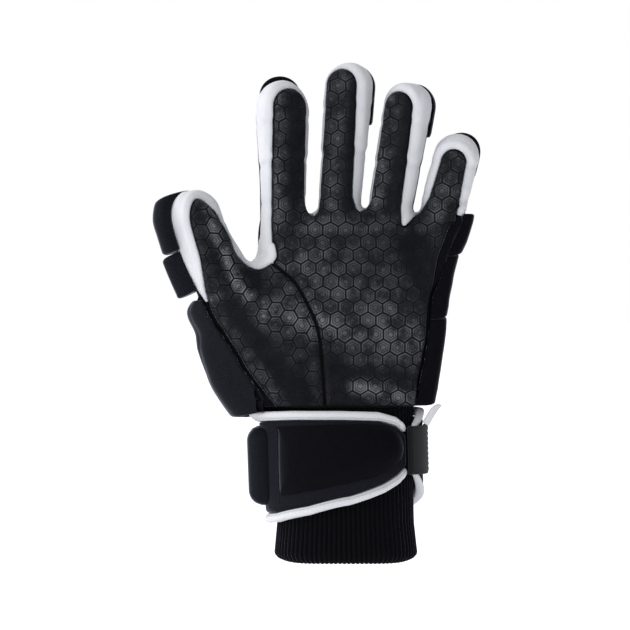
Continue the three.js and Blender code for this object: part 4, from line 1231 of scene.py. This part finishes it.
for name, line, low, high, offset, lift in (
        ("stitches_seam_palm_side", SEAM_LINE, 94, 170, 2.4, 0.12),
        ("stitches_seam_thumb_side", SEAM_LINE, 94, 166, -2.4, 0.12),
        ("stitches_palm_right", RIGHT_LINE, 96, 198, -2.2, 0.12),
        ("stitches_thumb_base", curve(THUMB_EDGE[12:]), 96, 146, 4.6, 2.5)):
    palm_stitches(name, line, low, high, offset, lift)
knit_cuff()
wrist_wrap()
piping("binding_top", "piping_top", True)
piping("binding_bottom", "piping_bottom", False)
front_outline = curve([(arc_of(angle), z) for angle, z in FRONT_PAD], 6, closed=True)
side_outline = rounded_box(*arc_of(SIDE_PAD[:2]), *SIDE_PAD[2:], 6)
wrap_pad("front_pad_cover", "wrist_front_pad", front_outline, 5.3, 13, 1, NEOPRENE)
wrap_pad("side_pad_cover", "wrist_side_pad", side_outline, 9, 9, 0.45, LINED_PAINTED_LIGHT)
strap()
for name, inset in (("strap_stitches_left", 3), ("strap_stitches_right", 40)):
    cuff_stitches(name, STRAP_FROM + inset, STRAP_LOW + 1.5, STRAP_HIGH - 1.5, STRAP_OUT, "webbing")
cuff_stitches("wrap_stitches", 307.5, 35, 81, WRAP_GAP + WRAP_WALL, "neoprene")
binding_tail()

# Floor, light and camera, in metres
FLOOR_Z, FLOOR_HALF = -0.06, 40
AIM = Vector((0, 0, 0.15))
EYE = (-0.0175, -1.0, 0.1447)
PIXELS, PIXEL = 630, 0.0005835  # the photo's width, and one of its pixels in the hand's middle plane
SENSOR = 36


def pale_floor(name):
    made, tree, shader, place = new_material(name, 0.9, 0.1)
    color = blend(tree, noise(tree, place, 400, 2), (0.80, 0.80, 0.80), (0.84, 0.84, 0.84))
    connect(tree, shader, color, noise(tree, place, 60, 2), 0.05, 0.2)
    shader.inputs["Emission Color"].default_value = (1, 1, 1, 1)
    shader.inputs["Emission Strength"].default_value = 0.62
    return made


floor_mesh = bpy.data.meshes.new("floor")
corners = [(x * FLOOR_HALF, y * FLOOR_HALF, FLOOR_Z) for x, y in ((-1, -1), (1, -1), (1, 1), (-1, 1))]
floor_mesh.from_pydata(corners, [], [(0, 1, 2, 3)])
floor_mesh.materials.append(pale_floor("pale_floor"))
floor = new_object("floor", floor_mesh)


def lamp(name, place, size, power):
    light = bpy.data.lights.new(name, "AREA")
    light.shape = "RECTANGLE"
    light.size, light.size_y = size
    light.energy = power
    made = new_object(name, light)
    made.location = place
    made.rotation_euler = (AIM - Vector(place)).to_track_quat("-Z", "Y").to_euler()


def studio():
    """White surroundings whose light is stronger from the left and from above than from the right."""
    world = bpy.data.worlds.new("studio")
    world.use_nodes = True
    tree = world.node_tree
    x, _, z = axes(tree, node(tree, "ShaderNodeTexCoord").outputs["Generated"])
    light = math(tree, "MULTIPLY", ramp(tree, x, 0.8, -0.8, 0.25, 1.12), ramp(tree, z, -0.6, 0.8, 0.55, 1.1))
    seen = node(tree, "ShaderNodeLightPath").outputs["Is Camera Ray"]
    strength = math(tree, "MAXIMUM", seen, light)
    back = tree.nodes["Background"]
    back.inputs["Color"].default_value = (1, 1, 1, 1)
    tree.links.new(strength, back.inputs["Strength"])
    bpy.context.scene.world = world


lamp("key", (-1.1, -0.1, 0.6), (0.5, 0.9), 5)
lamp("front", (-0.6, -1.2, 0.9), (0.6, 0.6), 5)
studio()
bpy.context.scene.view_settings.view_transform = "Standard"

camera = bpy.data.cameras.new("camera")
camera.sensor_width = SENSOR
camera.lens = SENSOR * -EYE[1] / (PIXELS * PIXEL)
eye = new_object("camera", camera)
eye.location = EYE
eye.rotation_euler = (np.pi / 2, 0, 0)
bpy.context.scene.camera = eye
